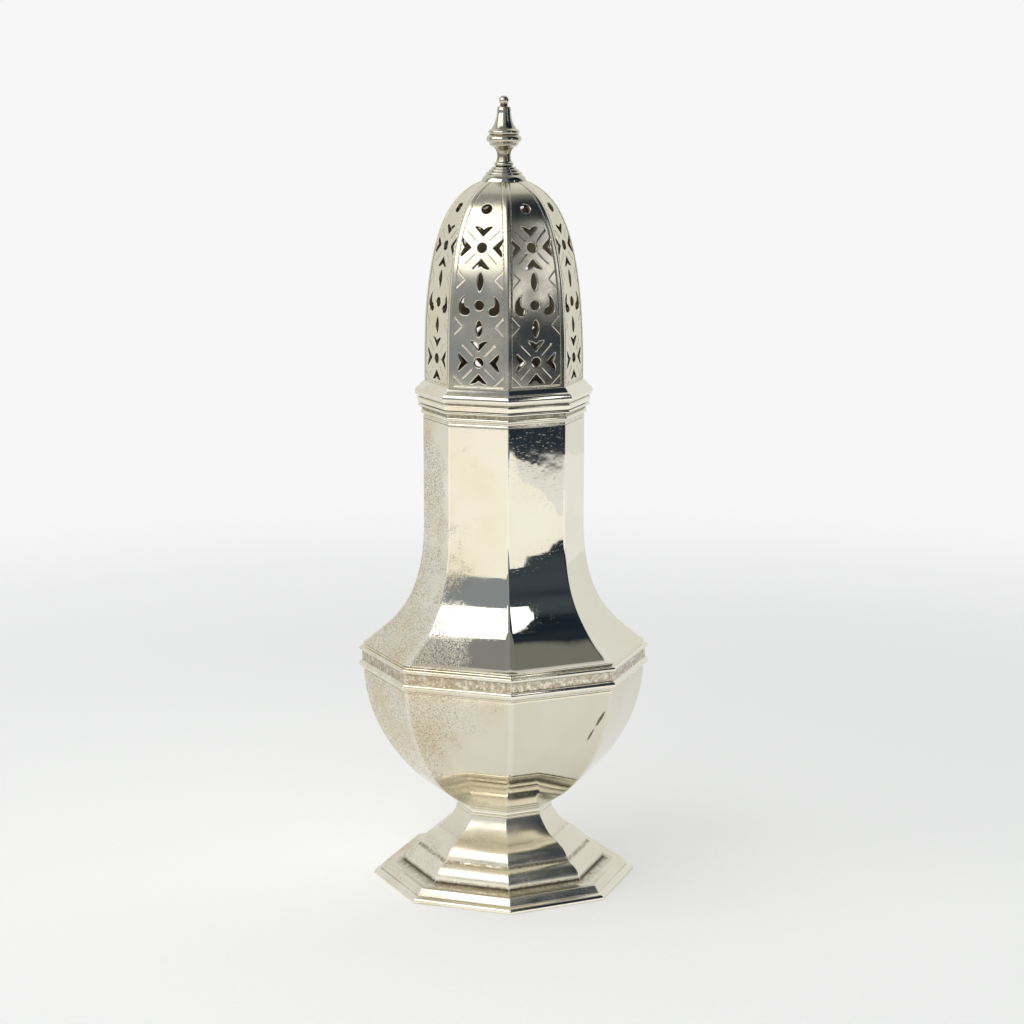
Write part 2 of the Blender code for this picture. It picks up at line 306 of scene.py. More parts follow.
def make_object(name, points, faces, notes):
    """A smooth mesh object, in metres, with its notes stored as point attributes."""
    used, packed = np.unique(np.concatenate([np.array(face) for face in faces]),
                             return_inverse=True)
    ends = np.cumsum([len(face) for face in faces])[:-1]
    mesh = bpy.data.meshes.new(name)
    mesh.from_pydata((points[used] * MM).tolist(), [],
                     [corners.tolist() for corners in np.split(packed, ends)])
    mesh.polygons.foreach_set("use_smooth", np.ones(len(faces), bool))
    for key, values in notes.items():
        note = mesh.attributes.new(key, "FLOAT", "POINT")
        note.data.foreach_set("value", np.asarray(values, np.float32).ravel()[used])
    piece = bpy.data.objects.new(name, mesh)
    bpy.context.scene.collection.objects.link(piece)
    return piece, used


def attach(piece, body, node):
    """Rides the piece on its body in place of its CAD node, and says how big it came out."""
    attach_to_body(piece, body)
    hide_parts(node)
    size = np.array(piece.dimensions) / MM
    tris = sum(len(face.vertices) - 2 for face in piece.data.polygons)
    print(piece.name, "mm:", size.round(1).tolist(), "triangles:", tris)
    return piece


# %% [markdown]
# ## One shell from one profile
#
# Almost every piece of this caster is the same job with another profile: soften it,
# space it, carry it round, planish it, make the mesh. A shell closes along its profile
# too, so it is one watertight skin with an outside and an inside.

# %% Shell
def shell(node, body, profile, section=EIGHT, corner=0.8, soft=0.09, poles=(False, False),
          slope=PLANISH_SLOPE):
    """One piece of hollowware from a profile in (corner radius or radius, height).

    A profile with no pole closes on itself. `corner` is the rounding of the eight
    corners, one number or a list of (height, rounding) pairs. Points whose normal
    faces the axis get the inside note.
    """
    closed = not any(poles)
    scale = FLAT if section is EIGHT else 1.0
    outline = spread(soften(profile * (scale, 1), soft, closed), closed)
    outline[:, 0] = np.maximum(outline[:, 0], 0)
    if not np.isscalar(corner):
        corner = np.interp(outline[:, 1], *np.array(corner).T)[:, None]
    points, normals = carry(outline, section, corner)
    points, normals = planish(points, normals, slope)
    rows, columns = points.shape[:2]
    inside = np.clip(-outline[:, 2], 0, 1)[:, None] + np.zeros(columns)
    relief = outline[:, 4][:, None] + np.zeros(columns)
    off_flat = np.abs((section[0] * section[1]).sum(axis=1) - 1) > 0.001
    arris = 1.0 * off_flat + np.zeros((rows, 1))
    for row, is_pole in zip((0, -1), poles):
        if is_pole:
            points[row] = points[row].mean(axis=0)
            normals[row] = (0, 0, np.sign(normals[row, 0, 2]))
    faces = grid_faces(rows, columns, closed, poles)
    notes = {"relief": relief, "arris": arris, "inside": inside}
    piece, used = make_object(node + "_skin", points.reshape(-1, 3), faces, notes)
    piece.data.normals_split_custom_set_from_vertices(normals.reshape(-1, 3)[used].tolist())
    return attach(piece, body, node)


print("notes kept on a shell: relief, arris and inside")

# %% [markdown]
# ## Walls
#
# Sheet silver has one thickness, so most profiles are an outer line plus the same
# line moved in. `inward` moves a line to its right by the gauge of the sheet,
# measured square to the flats.

# %% Inward offset
WALL = 0.9
BODY = "caster_body"
COVER = "cover"


def inward(points, gauge):
    """The line moved to its right by the gauge, in flat distances, and run backwards."""
    flat = even(points * (FLAT, 1), 0.2, False)
    way = ahead(flat, False)
    way /= np.hypot(*way.T)[:, None]
    right = np.column_stack([way[:, 1], -way[:, 0]])
    return ((flat + right * gauge) / (FLAT, 1))[::-1]


print("gauge of the sheet, mm:", WALL)

# %% [markdown]
# ## The foot rim
#
# The caster stands on a flat band of thick sheet, soldered under the foot. Its outer
# edge is a narrow rounded slope that catches a bright line all the way round. The
# band is a closed ring, so one closed profile makes it.

# %% Foot rim
rim_profile = trail(
    line((26.6, 1.34), (29.25, 1.34)),
    bow((29.5, 1.28), (30.6, 0.22), 0.16),
    line((30.55, 0.04), (26.6, 0.04)),
    line((26.6, 0.1), (26.6, 1.3)),
)
foot_rim = shell("foot_rim", BODY, rim_profile, corner=0.6, soft=0.06)

# %% [markdown]
# ## The stepped foot
#
# The foot flares from the stem, rolls over a rounded shoulder, steps down, rolls
# again, and runs out through a shallow cove to a ridge and a short slope. It is
# raised from one sheet, so the inside follows the outside, without the small step.

# %% Foot
foot_outer = trail(
    bow((11.1, 16.25), (15.4, 11.4), -0.07),
    bow((15.4, 11.4), (19.7, 7.5), 0.10),
    line((19.75, 7.4), (20.1, 7.05)),
    bow((20.1, 7.05), (23.4, 3.5), 0.11),
    line((23.45, 3.4), (23.7, 3.25)),
    bow((23.8, 3.2), (27.6, 2.95), -0.07),
    bow((27.6, 2.95), (27.95, 2.85), 0.15),
    line((28.0, 2.8), (29.1, 1.36)),
)
foot_inner = trail(
    line((28.1, 1.36), (27.1, 2.1)),
    line((27.0, 2.1), (23.0, 2.5)),
    sweep((22.9, 2.6), (21.5, 4.6), (20.5, 6.0), (18.9, 7.0)),
    sweep((18.8, 7.1), (16.5, 9.6), (15.5, 10.3), (14.5, 10.9)),
    sweep((14.4, 11.0), (12.6, 13.0), (11.2, 14.6), (10.1, 16.25)),
)
foot = shell("foot", BODY, trail(foot_outer, foot_inner), corner=0.7, soft=0.10)

# %% [markdown]
# ## The stem collar
#
# Between the foot and the bowl sits a short ring of wire, a small cove over a narrow
# bead. It hides the solder line and strengthens the thinnest place.

# %% Stem collar
collar_wire = trail(
    line((10.3, 18.34), (11.15, 18.34)),
    bow((11.2, 18.2), (11.0, 16.95), -0.16),
    bow((11.05, 16.9), (11.1, 16.28), 0.28),
    line((11.0, 16.24), (10.3, 16.24)),
    line((10.3, 16.3), (10.3, 18.3)),
)
stem_collar = shell("stem_collar", BODY, collar_wire, corner=0.6, soft=0.06)

# %% [markdown]
# ## The bowl
#
# The lower body is a deep half-round, raised from a disc, so it has its own closed
# floor above the hollow foot. The profile starts on the axis at the inner floor,
# climbs the inside, turns over the rim and comes down the outside to the axis again:
# both ends are poles.

# %% Bowl
bowl_curve = sweep((32.55, 49.42), (32.0, 36.5), (23.6, 23.8), (11.2, 18.32), 400)
bowl_inner = inward(bowl_curve, WALL)
bowl_profile = trail(
    line((0.0, 19.2), (bowl_inner[0][0] - 0.3, 19.2)),
    bowl_inner[2:],
    line((31.7, 49.5), (32.45, 49.5), 8),
    bowl_curve,
    line((11.0, 18.3), (0.0, 18.3)),
)
bowl = shell("bowl", BODY, bowl_profile, corner=1.9, soft=0.10, poles=(True, True))

# %% [markdown]
# ## The girdle
#
# The widest line of the caster, where bowl and shoulder meet, carries a drawn wire
# moulding: a bead along each edge and a hollow between. The hollow is hard to reach
# with a cloth, so it is where the brown tarnish stays.

# %% Girdle
girdle_profile = trail(
    line((31.3, 55.36), (32.4, 55.36)),
    line((32.5, 55.3), (32.6, 55.1)),
    bow((32.85, 55.0), (32.98, 53.9), 0.46),
    bow((32.86, 53.82), (32.86, 51.68), -0.06),
    bow((32.98, 51.6), (32.85, 49.92), 0.34),
    line((32.6, 49.8), (32.45, 49.46)),
    line((32.4, 49.46), (31.3, 49.46)),
    line((31.3, 49.6), (31.3, 55.2)),
)
girdle = shell("girdle_moulding", BODY, girdle_profile, corner=0.5, soft=0.07)

# %% [markdown]
# ## Shoulder and neck
#
# One raised sheet sweeps in from the girdle and straightens into the tall neck. Its
# plain flats are the mirror of the piece, which is why the curve is one long sweep
# with nothing to break it.

# %% Upper body
neck_curve = trail(
    line((18.4, 107.96), (18.4, 84.0), 80),
    sweep((18.4, 84.0), (18.58, 65.2), (25.1, 61.9), (31.4, 56.72), 400),
    sweep((31.4, 56.72), (31.9, 56.31), (32.3, 56.05), (32.85, 55.86), 40),
)
upper_profile = trail(neck_curve, (32.7, 55.5), inward(neck_curve, WALL)[3:-3])
upper_body = shell("upper_body", BODY, upper_profile, soft=0.12,
                   corner=[(57.0, 3.8), (67.0, 1.0)])

# %% [markdown]
# ## Neck moulding
#
# A ring soldered at the mouth stiffens it and gives the cover something to sit on: a
# flat band, a wide channel that keeps its tarnish, and a small bead.

# %% Neck moulding
neck_ring = trail(
    line((17.45, 111.28), (19.45, 111.28)),
    line((19.58, 111.2), (19.58, 110.8)),
    bow((19.5, 110.7), (18.62, 109.95), -0.2),
    bow((18.6, 109.85), (18.5, 108.95), 0.42),
    bow((18.42, 108.85), (18.42, 108.2), -0.25),
    line((18.5, 108.1), (18.4, 107.98)),
    line((18.3, 107.98), (17.45, 107.98)),
    line((17.45, 108.1), (17.45, 111.2)),
)
neck_moulding = shell("neck_moulding", BODY, neck_ring, corner=0.5, soft=0.05)

# %% [markdown]
# ## Cover moulding and sleeve
#
# The cover's own ring is bolder: a plain fillet, a big round bead, then a slope up to
# the dome. Inside it the sleeve, a plain bezel, slides into the neck and holds the cover
# by friction. It is rubbed dull, and only shows when the cover is lifted.

# %% Cover ring and sleeve
cover_ring = trail(
    line((17.45, 116.42), (18.35, 116.42)),
    sweep((18.4, 116.4), (18.7, 116.1), (19.0, 115.7), (19.35, 115.3)),
    bow((19.5, 115.2), (19.5, 112.9), 0.33),
    line((19.45, 112.8), (19.6, 112.65)),
    line((19.76, 112.5), (19.64, 111.55)),
    line((19.45, 111.42), (17.45, 111.42)),
    line((17.45, 111.5), (17.45, 116.3)),
)
cover_moulding = shell("cover_moulding", COVER, cover_ring, corner=0.6,
                       soft=0.07)
SLEEVE_R, SLEEVE_LOW = 17.1, 101.2
sleeve_profile = trail(
    line((SLEEVE_R, 116.36), (SLEEVE_R, SLEEVE_LOW + 0.8), 60),
    line((SLEEVE_R - 0.3, SLEEVE_LOW), (SLEEVE_R - 0.7, SLEEVE_LOW)),
    line((SLEEVE_R - 0.76, SLEEVE_LOW + 0.2), (SLEEVE_R - 0.76, 116.36), 60),
)
cover_sleeve = shell("cover_sleeve", COVER, sleeve_profile, corner=0.9, soft=0.08)

# %% [markdown]
# ## Finial and its collar
#
# The finial is cast and turned, so it is round, not eight-sided: a ball, a bell, a
# reeded knop and a narrow waist. Three round steps and a swelling base bring it down
# to the dome. The ends of both profiles lie on the axis.

# %% Turned pieces
ball = trail(bow((0.0, 179.96), (0.82, 178.25), 0.36), line((0.8, 178.1), (0.86, 177.75)))
bell = trail(
    bow((1.1, 177.6), (1.52, 177.1), 0.25),
    sweep((1.58, 176.9), (1.55, 175.4), (1.9, 173.9), (2.75, 172.75)),
)
knop = trail(
    line((2.9, 172.6), (3.2, 172.5)),
    bow((3.3, 172.4), (3.15, 171.45), 0.3),
    bow((3.3, 171.3), (3.35, 169.65), 0.36),
    bow((3.2, 169.5), (2.7, 168.85), 0.25),
    sweep((2.3, 168.6), (1.5, 168.1), (1.25, 166.7), (1.72, 165.45)),
    bow((1.85, 165.3), (1.9, 164.5), 0.4),
)
spigot = trail(line((1.5, 164.2), (1.5, 160.0), 20), line((1.4, 159.85), (0.0, 159.85)))
finial = shell("finial", COVER, trail(ball, bell, knop, spigot), section=ROUND,
               soft=0.05, poles=(True, True), slope=0.006)
collar_rings = trail(
    line((1.9, 164.35), (2.35, 164.35)),
    bow((2.4, 164.3), (2.75, 163.85), 0.3),
    bow((2.95, 163.75), (3.4, 163.25), 0.3),
    bow((3.6, 163.15), (4.05, 162.6), 0.3),
    bow((4.15, 162.5), (5.1, 160.95), 0.12),
    line((4.9, 160.75), (1.9, 160.9)),
    line((1.9, 161.0), (1.9, 164.3), 16),
)
finial_collar = shell("finial_collar", COVER, collar_rings, section=ROUND,
                      soft=0.05, slope=0.006)

# %% [markdown]
# ## The pierced dome: its curve
#
# The dome is eight tall panels, straight across and curved upward. Laid flat, a
# panel is a plane with x across and s, the length along the curve, upward. The
# piercing is drawn on that flat panel, just as the smith scribes it before sawing.
# `wall_at` says where a height s lies on the real dome.

# %% Dome curve
DOME_CORNER = 0.7
DOME_SLOPE = 0.012
dome_line = sweep((18.1, 116.36), (18.1, 140.0), (16.2, 157.0), (5.2, 161.2), 4001) * (FLAT, 1)
dome_run = np.r_[0, np.cumsum(np.hypot(*np.diff(dome_line, axis=0).T))]
dome_way = ahead(dome_line, False)
dome_way /= np.hypot(*dome_way.T)[:, None]
DOME_LENGTH = dome_run[-1]


def wall_at(s):
    """Flat distance, height, and the outward normal's two parts, at length s up the curve."""
    columns = (dome_line[:, 0], dome_line[:, 1], dome_way[:, 1], -dome_way[:, 0])
    return [np.interp(s, dome_run, column) for column in columns]


def run_to(height):
    """Length up the curve at which the dome reaches a height."""
    return float(np.interp(height, dome_line[:, 1], dome_run))


def half_width(s, corner=DOME_CORNER):
    """Half the flat part of a panel: (flat distance - corner) * tan of half a side's turn."""
    return (wall_at(s)[0] - corner) * np.tan(HALF_SIDE)


print("panel length up the curve, mm:", round(float(DOME_LENGTH), 2))

# %% [markdown]
# ## The motifs
#
# Each panel has two crosses, a round hole ringed by four fishtail barbs; two pointed
# leaves; and between them a round hole with a comma on each side. One small round
# hole sits near the crown. Every outline is a closed line on the flat panel, run
# anticlockwise and softened a little, since a saw and file never leave a razor edge.

# %% Piercing outlines
OUTLINE_STEP = 0.32


def swing_left(a, b):
    """Signed area between flat directions: a across * b up - a up * b across."""
    return a[:, 0] * b[:, 1] - a[:, 1] * b[:, 0]


def opening(points, soft=0.05):
    """A closed outline, softened at a fine step and then thinned to the outline step."""
    return even(soften(points, soft, True, 0.02), OUTLINE_STEP, True)


def round_hole(radius):
    """Circle: radius times the cosine and sine of evenly spaced turns."""
    turn = np.linspace(0, 2 * np.pi, 61)[:-1]
    return opening(radius * np.column_stack([np.cos(turn), np.sin(turn)]))


def quarter_turned(points, turns):
    """The points turned by whole quarter turns about the motif's middle."""
    for _ in range(turns):
        points = np.column_stack([-points[:, 1], points[:, 0]])
    return points


barb = opening(trail(
    line((0.0, 2.5), (2.1, 4.75)), bow((2.1, 4.75), (0.0, 3.95), -0.12),
    bow((0.0, 3.95), (-2.1, 4.75), -0.12), line((-2.1, 4.75), (0.0, 2.5))))
cross = [round_hole(1.12)] + [quarter_turned(barb, turns) for turns in range(4)]
print("openings in a cross:", len(cross))

# %% [markdown]
# ## Leaves, commas and their places
#
# A leaf is two bows that meet at both tips. The comma is drawn once and mirrored.
# Every motif is then moved to the height where it stands on the panel.

# %% Leaves, commas and places
def leaf(length, width):
    """Two bows that meet at both tips."""
    tip, foot = (0.0, length / 2), (0.0, -length / 2)
    bulge = width / 2 / length
    return opening(trail(bow(foot, tip, -bulge), bow(tip, foot, -bulge)))


comma = opening(trail(
    bow((3.3, 2.1), (4.72, -0.45), 0.17), bow((4.72, -0.45), (3.4, -2.2), 0.26),
    bow((3.4, -2.2), (2.5, -0.62), 0.42), line((2.6, -0.55), (3.2, -0.42)),
    bow((3.25, -0.4), (3.3, 2.0), -0.16))[::-1], 0.09)
comma = comma if swing_left(comma, np.roll(comma, -1, axis=0)).sum() > 0 else comma[::-1]
scroll = [round_hole(1.12), comma, (comma * (-1, 1))[::-1]]

CROSS_S = [run_to(147.3), run_to(122.2)]
SCROLL_S = run_to(134.8)
openings = [outline + (0, s) for s in CROSS_S for outline in cross]
openings += [outline + (0, SCROLL_S) for outline in scroll]
openings += [leaf(4.3, 1.5) + (0, run_to(139.9)), leaf(3.9, 1.6) + (0, run_to(129.7))]
openings += [round_hole(1.2) + (0, run_to(155.6))]
print("openings in a panel:", len(openings), "outline points:", sum(len(o) for o in openings))

# %% [markdown]
# ## The engraving
#
# A graver cuts a fine V: a border line beside each corner and above the base, one
# line along each diagonal of a cross, half-diamonds from the borders and a slanted
# line across each lower corner. Each cut is a straight segment with its own width,
# depth and fade, all in millimetres: it grows shallow towards its free start.

# %% Engraved lines
BORDER_INSET = 0.95
BORDER_CUT, CROSS_CUT, FINE_CUT = (0.23, 0.13, 0), (0.21, 0.12, 0.5), (0.19, 0.10, 0.3)


def border_x(s):
    """The border line's distance from the panel's middle, a fixed way in from the corner."""
    return wall_at(s)[0] * np.tan(HALF_SIDE) - BORDER_INSET


rise = np.linspace(0.45, DOME_LENGTH - 0.6, 49)
border = np.column_stack([border_x(rise), rise])
cuts = [(a, b, *BORDER_CUT) for a, b in zip(border[:-1], border[1:])]
cuts.append((np.array([0.0, 0.45]), border[0], *BORDER_CUT))
for height in (140.4, 130.1):
    middle = run_to(height)
    point = np.array([border_x(middle) - 2.0, middle])
    for way in (-1, 1):
        start = middle + way * 2.05
        cuts.append((point, np.array([border_x(start), start]), *FINE_CUT))
cuts.append((np.array([border_x(2.75), 2.75]), np.array([border_x(0.5) - 2.4, 0.5]), *FINE_CUT))
for s in CROSS_S:
    for up in (-1, 1):
        heading = np.array([0.7071, 0.7071 * up])
        cuts.append(((0, s) + 1.9 * heading, (0, s) + 5.0 * heading, *CROSS_CUT))
cuts += [(a * (-1, 1), b * (-1, 1), width, depth, fade) for a, b, width, depth, fade in cuts]
cut_start, cut_end = (np.array([cut[i] for cut in cuts]) for i in (0, 1))
cut_width, cut_depth, cut_fade = (np.array([cut[i] for cut in cuts]) for i in (2, 3, 4))
print("engraved strokes in a panel:", len(cuts))

# %% [markdown]
# ## Filling the panel with triangles
#
# A constrained Delaunay fill keeps every outline as an edge of the mesh, and the
# triangles that lie inside an opening are dropped. First come the distances: how far
# any point is from the nearest rim or cut, found for all points at once.

# %% Distances
def nearest(points, starts, ends):
    """For each point: distance to its closest segment, way out from it, its number, share along.

    The share is (point - start) . span / span . span, kept between 0 and 1.
    """
    span = ends - starts
    gap = points[:, None] - starts
    share = np.clip((gap * span).sum(axis=2) / (span * span).sum(axis=1), 0, 1)
    gap = gap - share[..., None] * span
    far = np.hypot(gap[..., 0], gap[..., 1])
    pick = far.argmin(axis=1)
    row = np.arange(len(points))
    best = far[row, pick]
    return best, gap[row, pick] / np.maximum(best, 1e-9)[:, None], pick, share[row, pick]


rim_start = np.vstack(openings)
rim_end = np.vstack([np.roll(outline, -1, axis=0) for outline in openings])
rim_way = np.vstack([ahead(outline, True) for outline in openings])
rim_out = np.column_stack([rim_way[:, 1], -rim_way[:, 0]]) / np.hypot(*rim_way.T)[:, None]
print("rim steps in a panel:", len(rim_start))

# %% [markdown]
# ## The panel's edge and its fill
#
# The panel narrows towards the crown, so its edge follows the dome's own curve. The
# fill returns where each fixed point went, since the sawn walls need them later.

# %% Panel fill
ACROSS = 16


def edge_points(row_step):
    """The panel's outline, anticlockwise from its lower left corner, and its row heights."""
    rows = np.linspace(0, DOME_LENGTH, int(DOME_LENGTH / row_step) + 1)
    share = np.linspace(-1, 1, ACROSS + 1)
    low = np.column_stack([share * half_width(0), 0 * share])
    high = np.column_stack([-share * half_width(DOME_LENGTH), 0 * share + DOME_LENGTH])
    right = np.column_stack([half_width(rows), rows])[1:-1]
    left = (right * (-1, 1))[::-1]
    return np.vstack([low, right, high, left]), rows


def fill_panel(outline, loose):
    """Constrained Delaunay fill of the outline around the openings; fixed points come first."""
    fixed = np.vstack([outline] + openings)
    sizes = [len(outline)] + [len(one) for one in openings]
    starts = np.cumsum([0] + sizes)
    loops = [list(range(a, b)) for a, b in zip(starts[:-1], starts[1:])]
    far = nearest(loose, np.vstack([rim_start, outline]),
                  np.vstack([rim_end, np.roll(outline, -1, axis=0)]))[0]
    inside = np.abs(loose[:, 0]) < half_width(loose[:, 1])
    inside &= (loose[:, 1] > 0) & (loose[:, 1] < DOME_LENGTH)
    every = np.vstack([fixed, loose[inside & (far > 0.03)]])
    result = geometry.delaunay_2d_cdt([Vector(p) for p in every], [], loops, 1, 1e-5, True)
    points = np.array([tuple(p) for p in result[0]])
    kept = [face for face, source in zip(result[2], result[5]) if source == [0]]
    home = np.full(len(every), -1)
    for place, sources in enumerate(result[3]):
        home[sources] = place
    faces = np.array(kept)
    a, b, c = (points[faces[:, i]] for i in range(3))
    turned = swing_left(b - a, c - a) < 0
    faces[turned] = faces[turned][:, ::-1]
    return points, faces, home[:len(fixed)], sizes


print("steps across a panel:", ACROSS)

# %% [markdown]
# ## Loose points where there is something to show
#
# Rings of points round each opening carry its soft rim, rows beside each cut carry the
# V, and a plain grid is enough elsewhere. Points that nearly touch are thinned.

# %% Loose points
def plain_grid(step):
    """Staggered rows of points over the panel: every other row is moved by half a step."""
    x, s = np.meshgrid(np.arange(-8, 8, step), np.arange(step / 2, DOME_LENGTH, step * 0.87))
    x[::2] += step / 2
    return np.column_stack([x.ravel(), s.ravel()])


rings = np.vstack([rim_start + rim_out * reach for reach in (0.04, 0.09, 0.16, 0.32)])
beside = []
for a, b, width, _, _ in cuts:
    along = line(a, b, int(np.hypot(*(b - a)) / 0.3) + 2)
    side = np.array([-(b - a)[1], (b - a)[0]]) / np.hypot(*(b - a))
    beside += [along + side * width * share for share in (-1.1, -0.5, 0, 0.5, 1.1)]
beside = np.vstack(beside)
grid = plain_grid(0.62)
grid = grid[nearest(grid, rim_start, rim_end)[0] > 0.5]
grid = grid[nearest(grid, cut_start, cut_end)[0] > 0.35]
ring_gap = nearest(rings, rim_start, rim_end)[0]
rings = rings[ring_gap > 0.035]
rings = rings[nearest(rings, cut_start, cut_end)[0] > 0.05]
loose = np.vstack([rings, beside, grid])
loose = loose[np.unique((loose / 0.045).round().astype(int), axis=0, return_index=True)[1]]
outer_edge, outer_rows = edge_points(0.36)
inner_edge, inner_rows = edge_points(1.5)
outer = fill_panel(outer_edge, loose)
inner = fill_panel(inner_edge, plain_grid(1.6))
print("outer triangles in a panel:", len(outer[1]), "inner:", len(inner[1]))

# %% [markdown]
# ## Bending the panel and cutting into it
#
# On the flat panel the metal falls away at each opening's rim, a quarter of a
# circle deep, and dips in a V along each cut. The slope of that height is known
# exactly, so the normals are exact too. Then the flat panel is bent onto the dome.

# %% Panel relief
RIM_SOFT = 0.17
INNER_CORNER = 0.3


def panel_relief(points, home, sizes):
    """Height below the sheet, its slope across and up, and how deep in a cut each point is.

    Rim: 0.7 * soft * (1 - sqrt(1 - w squared)), with w = 1 - distance / soft.
    Cut: depth * (1 - distance / width), fading over the last part of a stroke.
    """
    far, out, _, _ = nearest(points, rim_start, rim_end)
    rims = home[sizes[0]:]
    far[rims] = 0
    out[rims] = rim_out
    w = np.clip(1 - far / RIM_SOFT, 0, 0.93)
    height = -0.7 * RIM_SOFT * (1 - np.sqrt(1 - w ** 2))
    slope = out * (0.7 * w / np.sqrt(1 - w ** 2))[:, None]
    near, side, pick, share = nearest(points, cut_start, cut_end)
    width, depth = cut_width[pick], cut_depth[pick]
    left = share * np.hypot(*(cut_end - cut_start)[pick].T)
    fade = np.clip(left / np.maximum(cut_fade[pick], 0.01), 0.15, 1)
    gap = np.clip(1 - near / width, 0, 1)
    height -= depth * fade * gap
    slope += side * ((depth * fade / width) * (gap > 0) * (gap < 0.97))[:, None]
    return height, slope, gap * fade


def bend(points, depth, turn, inside):
    """Panel points laid on the dome, then turned to a side.

    Distance = curve distance + depth * outward; height = curve height + depth * upward.
    On the inside, x shrinks to the inner panel's width and depth drops by the gauge.
    """
    x, s = points.T
    reach, height, out, up = wall_at(s)
    if inside:
        ratio = (reach - WALL * out - INNER_CORNER) * np.tan(HALF_SIDE) / half_width(s)
        x, depth = x * ratio, depth - WALL
    reach, height = reach + depth * out, height + depth * up
    c, n = np.cos(turn), np.sin(turn)
    return np.column_stack([reach * c - x * n, reach * n + x * c, height])


def in_space(across, along, away, s, turn):
    """Directions on the panel (across, along the curve, away from it) turned into space.

    Level part = away * outward - along * upward; rise = away * upward + along * outward.
    """
    _, _, out, up = wall_at(s)
    level, rise = away * out - along * up, away * up + along * out
    c, n = np.cos(turn), np.sin(turn)
    return np.column_stack([level * c - across * n, level * n + across * c, rise])


print("the metal rolls off over", RIM_SOFT, "mm at each opening")


# %% [markdown]
# ## A tray for the dome's points and faces
#
# The dome is one solid made of many patches: outside and inside panels, sawn walls
# and corner strips. Two small helpers collect them. Normals are given for each
# corner of each face, so outside, inside and sawn walls keep their own.

# %% Dome tray
tray = {"points": [], "faces": [], "normals": [], "cut": [], "inside": []}


def add_points(points, cut=0.0, inside=0.0):
    """Stores points with their notes and returns the number of the first."""
    first = sum(len(patch) for patch in tray["points"])
    tray["points"].append(points)
    for key, value in (("cut", cut), ("inside", inside)):
        tray[key].append(np.broadcast_to(value, len(points)))
    return first


def add_faces(faces, normals):
    """Stores faces and one normal for each of their corners, in the same order."""
    tray["faces"] += faces.tolist()
    tray["normals"].append(normals.reshape(-1, 3))


def panel_side(filled, turn, inside):
    """Adds one side of one panel; returns where its fixed points went.

    The normal is away - slope across - slope along, turned into space.
    """
    points, faces, home, sizes = filled
    none = np.zeros(len(points))
    if inside:
        height, slope, cut = none, np.zeros((len(points), 2)), none
    else:
        height, slope, cut = panel_relief(points, home, sizes)
    away = -1.0 if inside else 1.0
    normals = in_space(-slope[:, 0], -slope[:, 1], away + none, points[:, 1], turn)
    normals /= np.linalg.norm(normals, axis=1, keepdims=True)
    bent, normals = planish(bend(points, height, turn, inside), normals, DOME_SLOPE)
    first = add_points(bent, cut, float(inside))
    faces = faces[:, ::-1] if inside else faces
    add_faces(first + faces, normals[faces])
    return first + home


def wall_band(outer_loop, inner_loop, facing):
    """Quads from an outer loop to an inner loop, with the given normals at each step."""
    after_out, after_in = np.roll(outer_loop, -1), np.roll(inner_loop, -1)
    after = np.roll(facing, -1, axis=0)
    quads = np.column_stack([outer_loop, after_out, after_in, inner_loop])
    add_faces(quads, np.stack([facing, after, after, facing], axis=1))


print("hammer slope on the dome:", DOME_SLOPE)

# %% [markdown]
# ## Eight panels and their sawn walls
#
# The same filled panel is laid on the dome eight times, outside and inside. Through
# every opening a band of wall joins the two: on the real cover it is the narrow
# bright edge that the saw and file left.

# %% Panels
edges = {False: [], True: []}
start, start_in = len(outer_edge), len(inner_edge)
for side in range(SIDES):
    turn = (2 * side + 1) * HALF_SIDE
    fixed_out = panel_side(outer, turn, False)
    fixed_in = panel_side(inner, turn, True)
    offset = 0
    for outline in openings:
        size = len(outline)
        part = slice(offset, offset + size)
        hole_way = -rim_out[part]
        facing = in_space(hole_way[:, 0], hole_way[:, 1], 0 * hole_way[:, 0], outline[:, 1], turn)
        wall_band(fixed_out[start:][part], fixed_in[start_in:][part], facing)
        offset += size
    edges[False].append(fixed_out[:start])
    edges[True].append(fixed_in[:start_in])
print("faces in the panels and their sawn walls:", len(tray["faces"]))

# %% [markdown]
# ## The rounded corners between the panels
#
# Two panels never meet in a knife edge: a narrow strip, a few tenths of a millimetre
# round, joins the right edge of one to the left edge of the next. It shares both
# edges' points, so no gap can open.

# %% Corner strips
CORNER_STEPS = 6


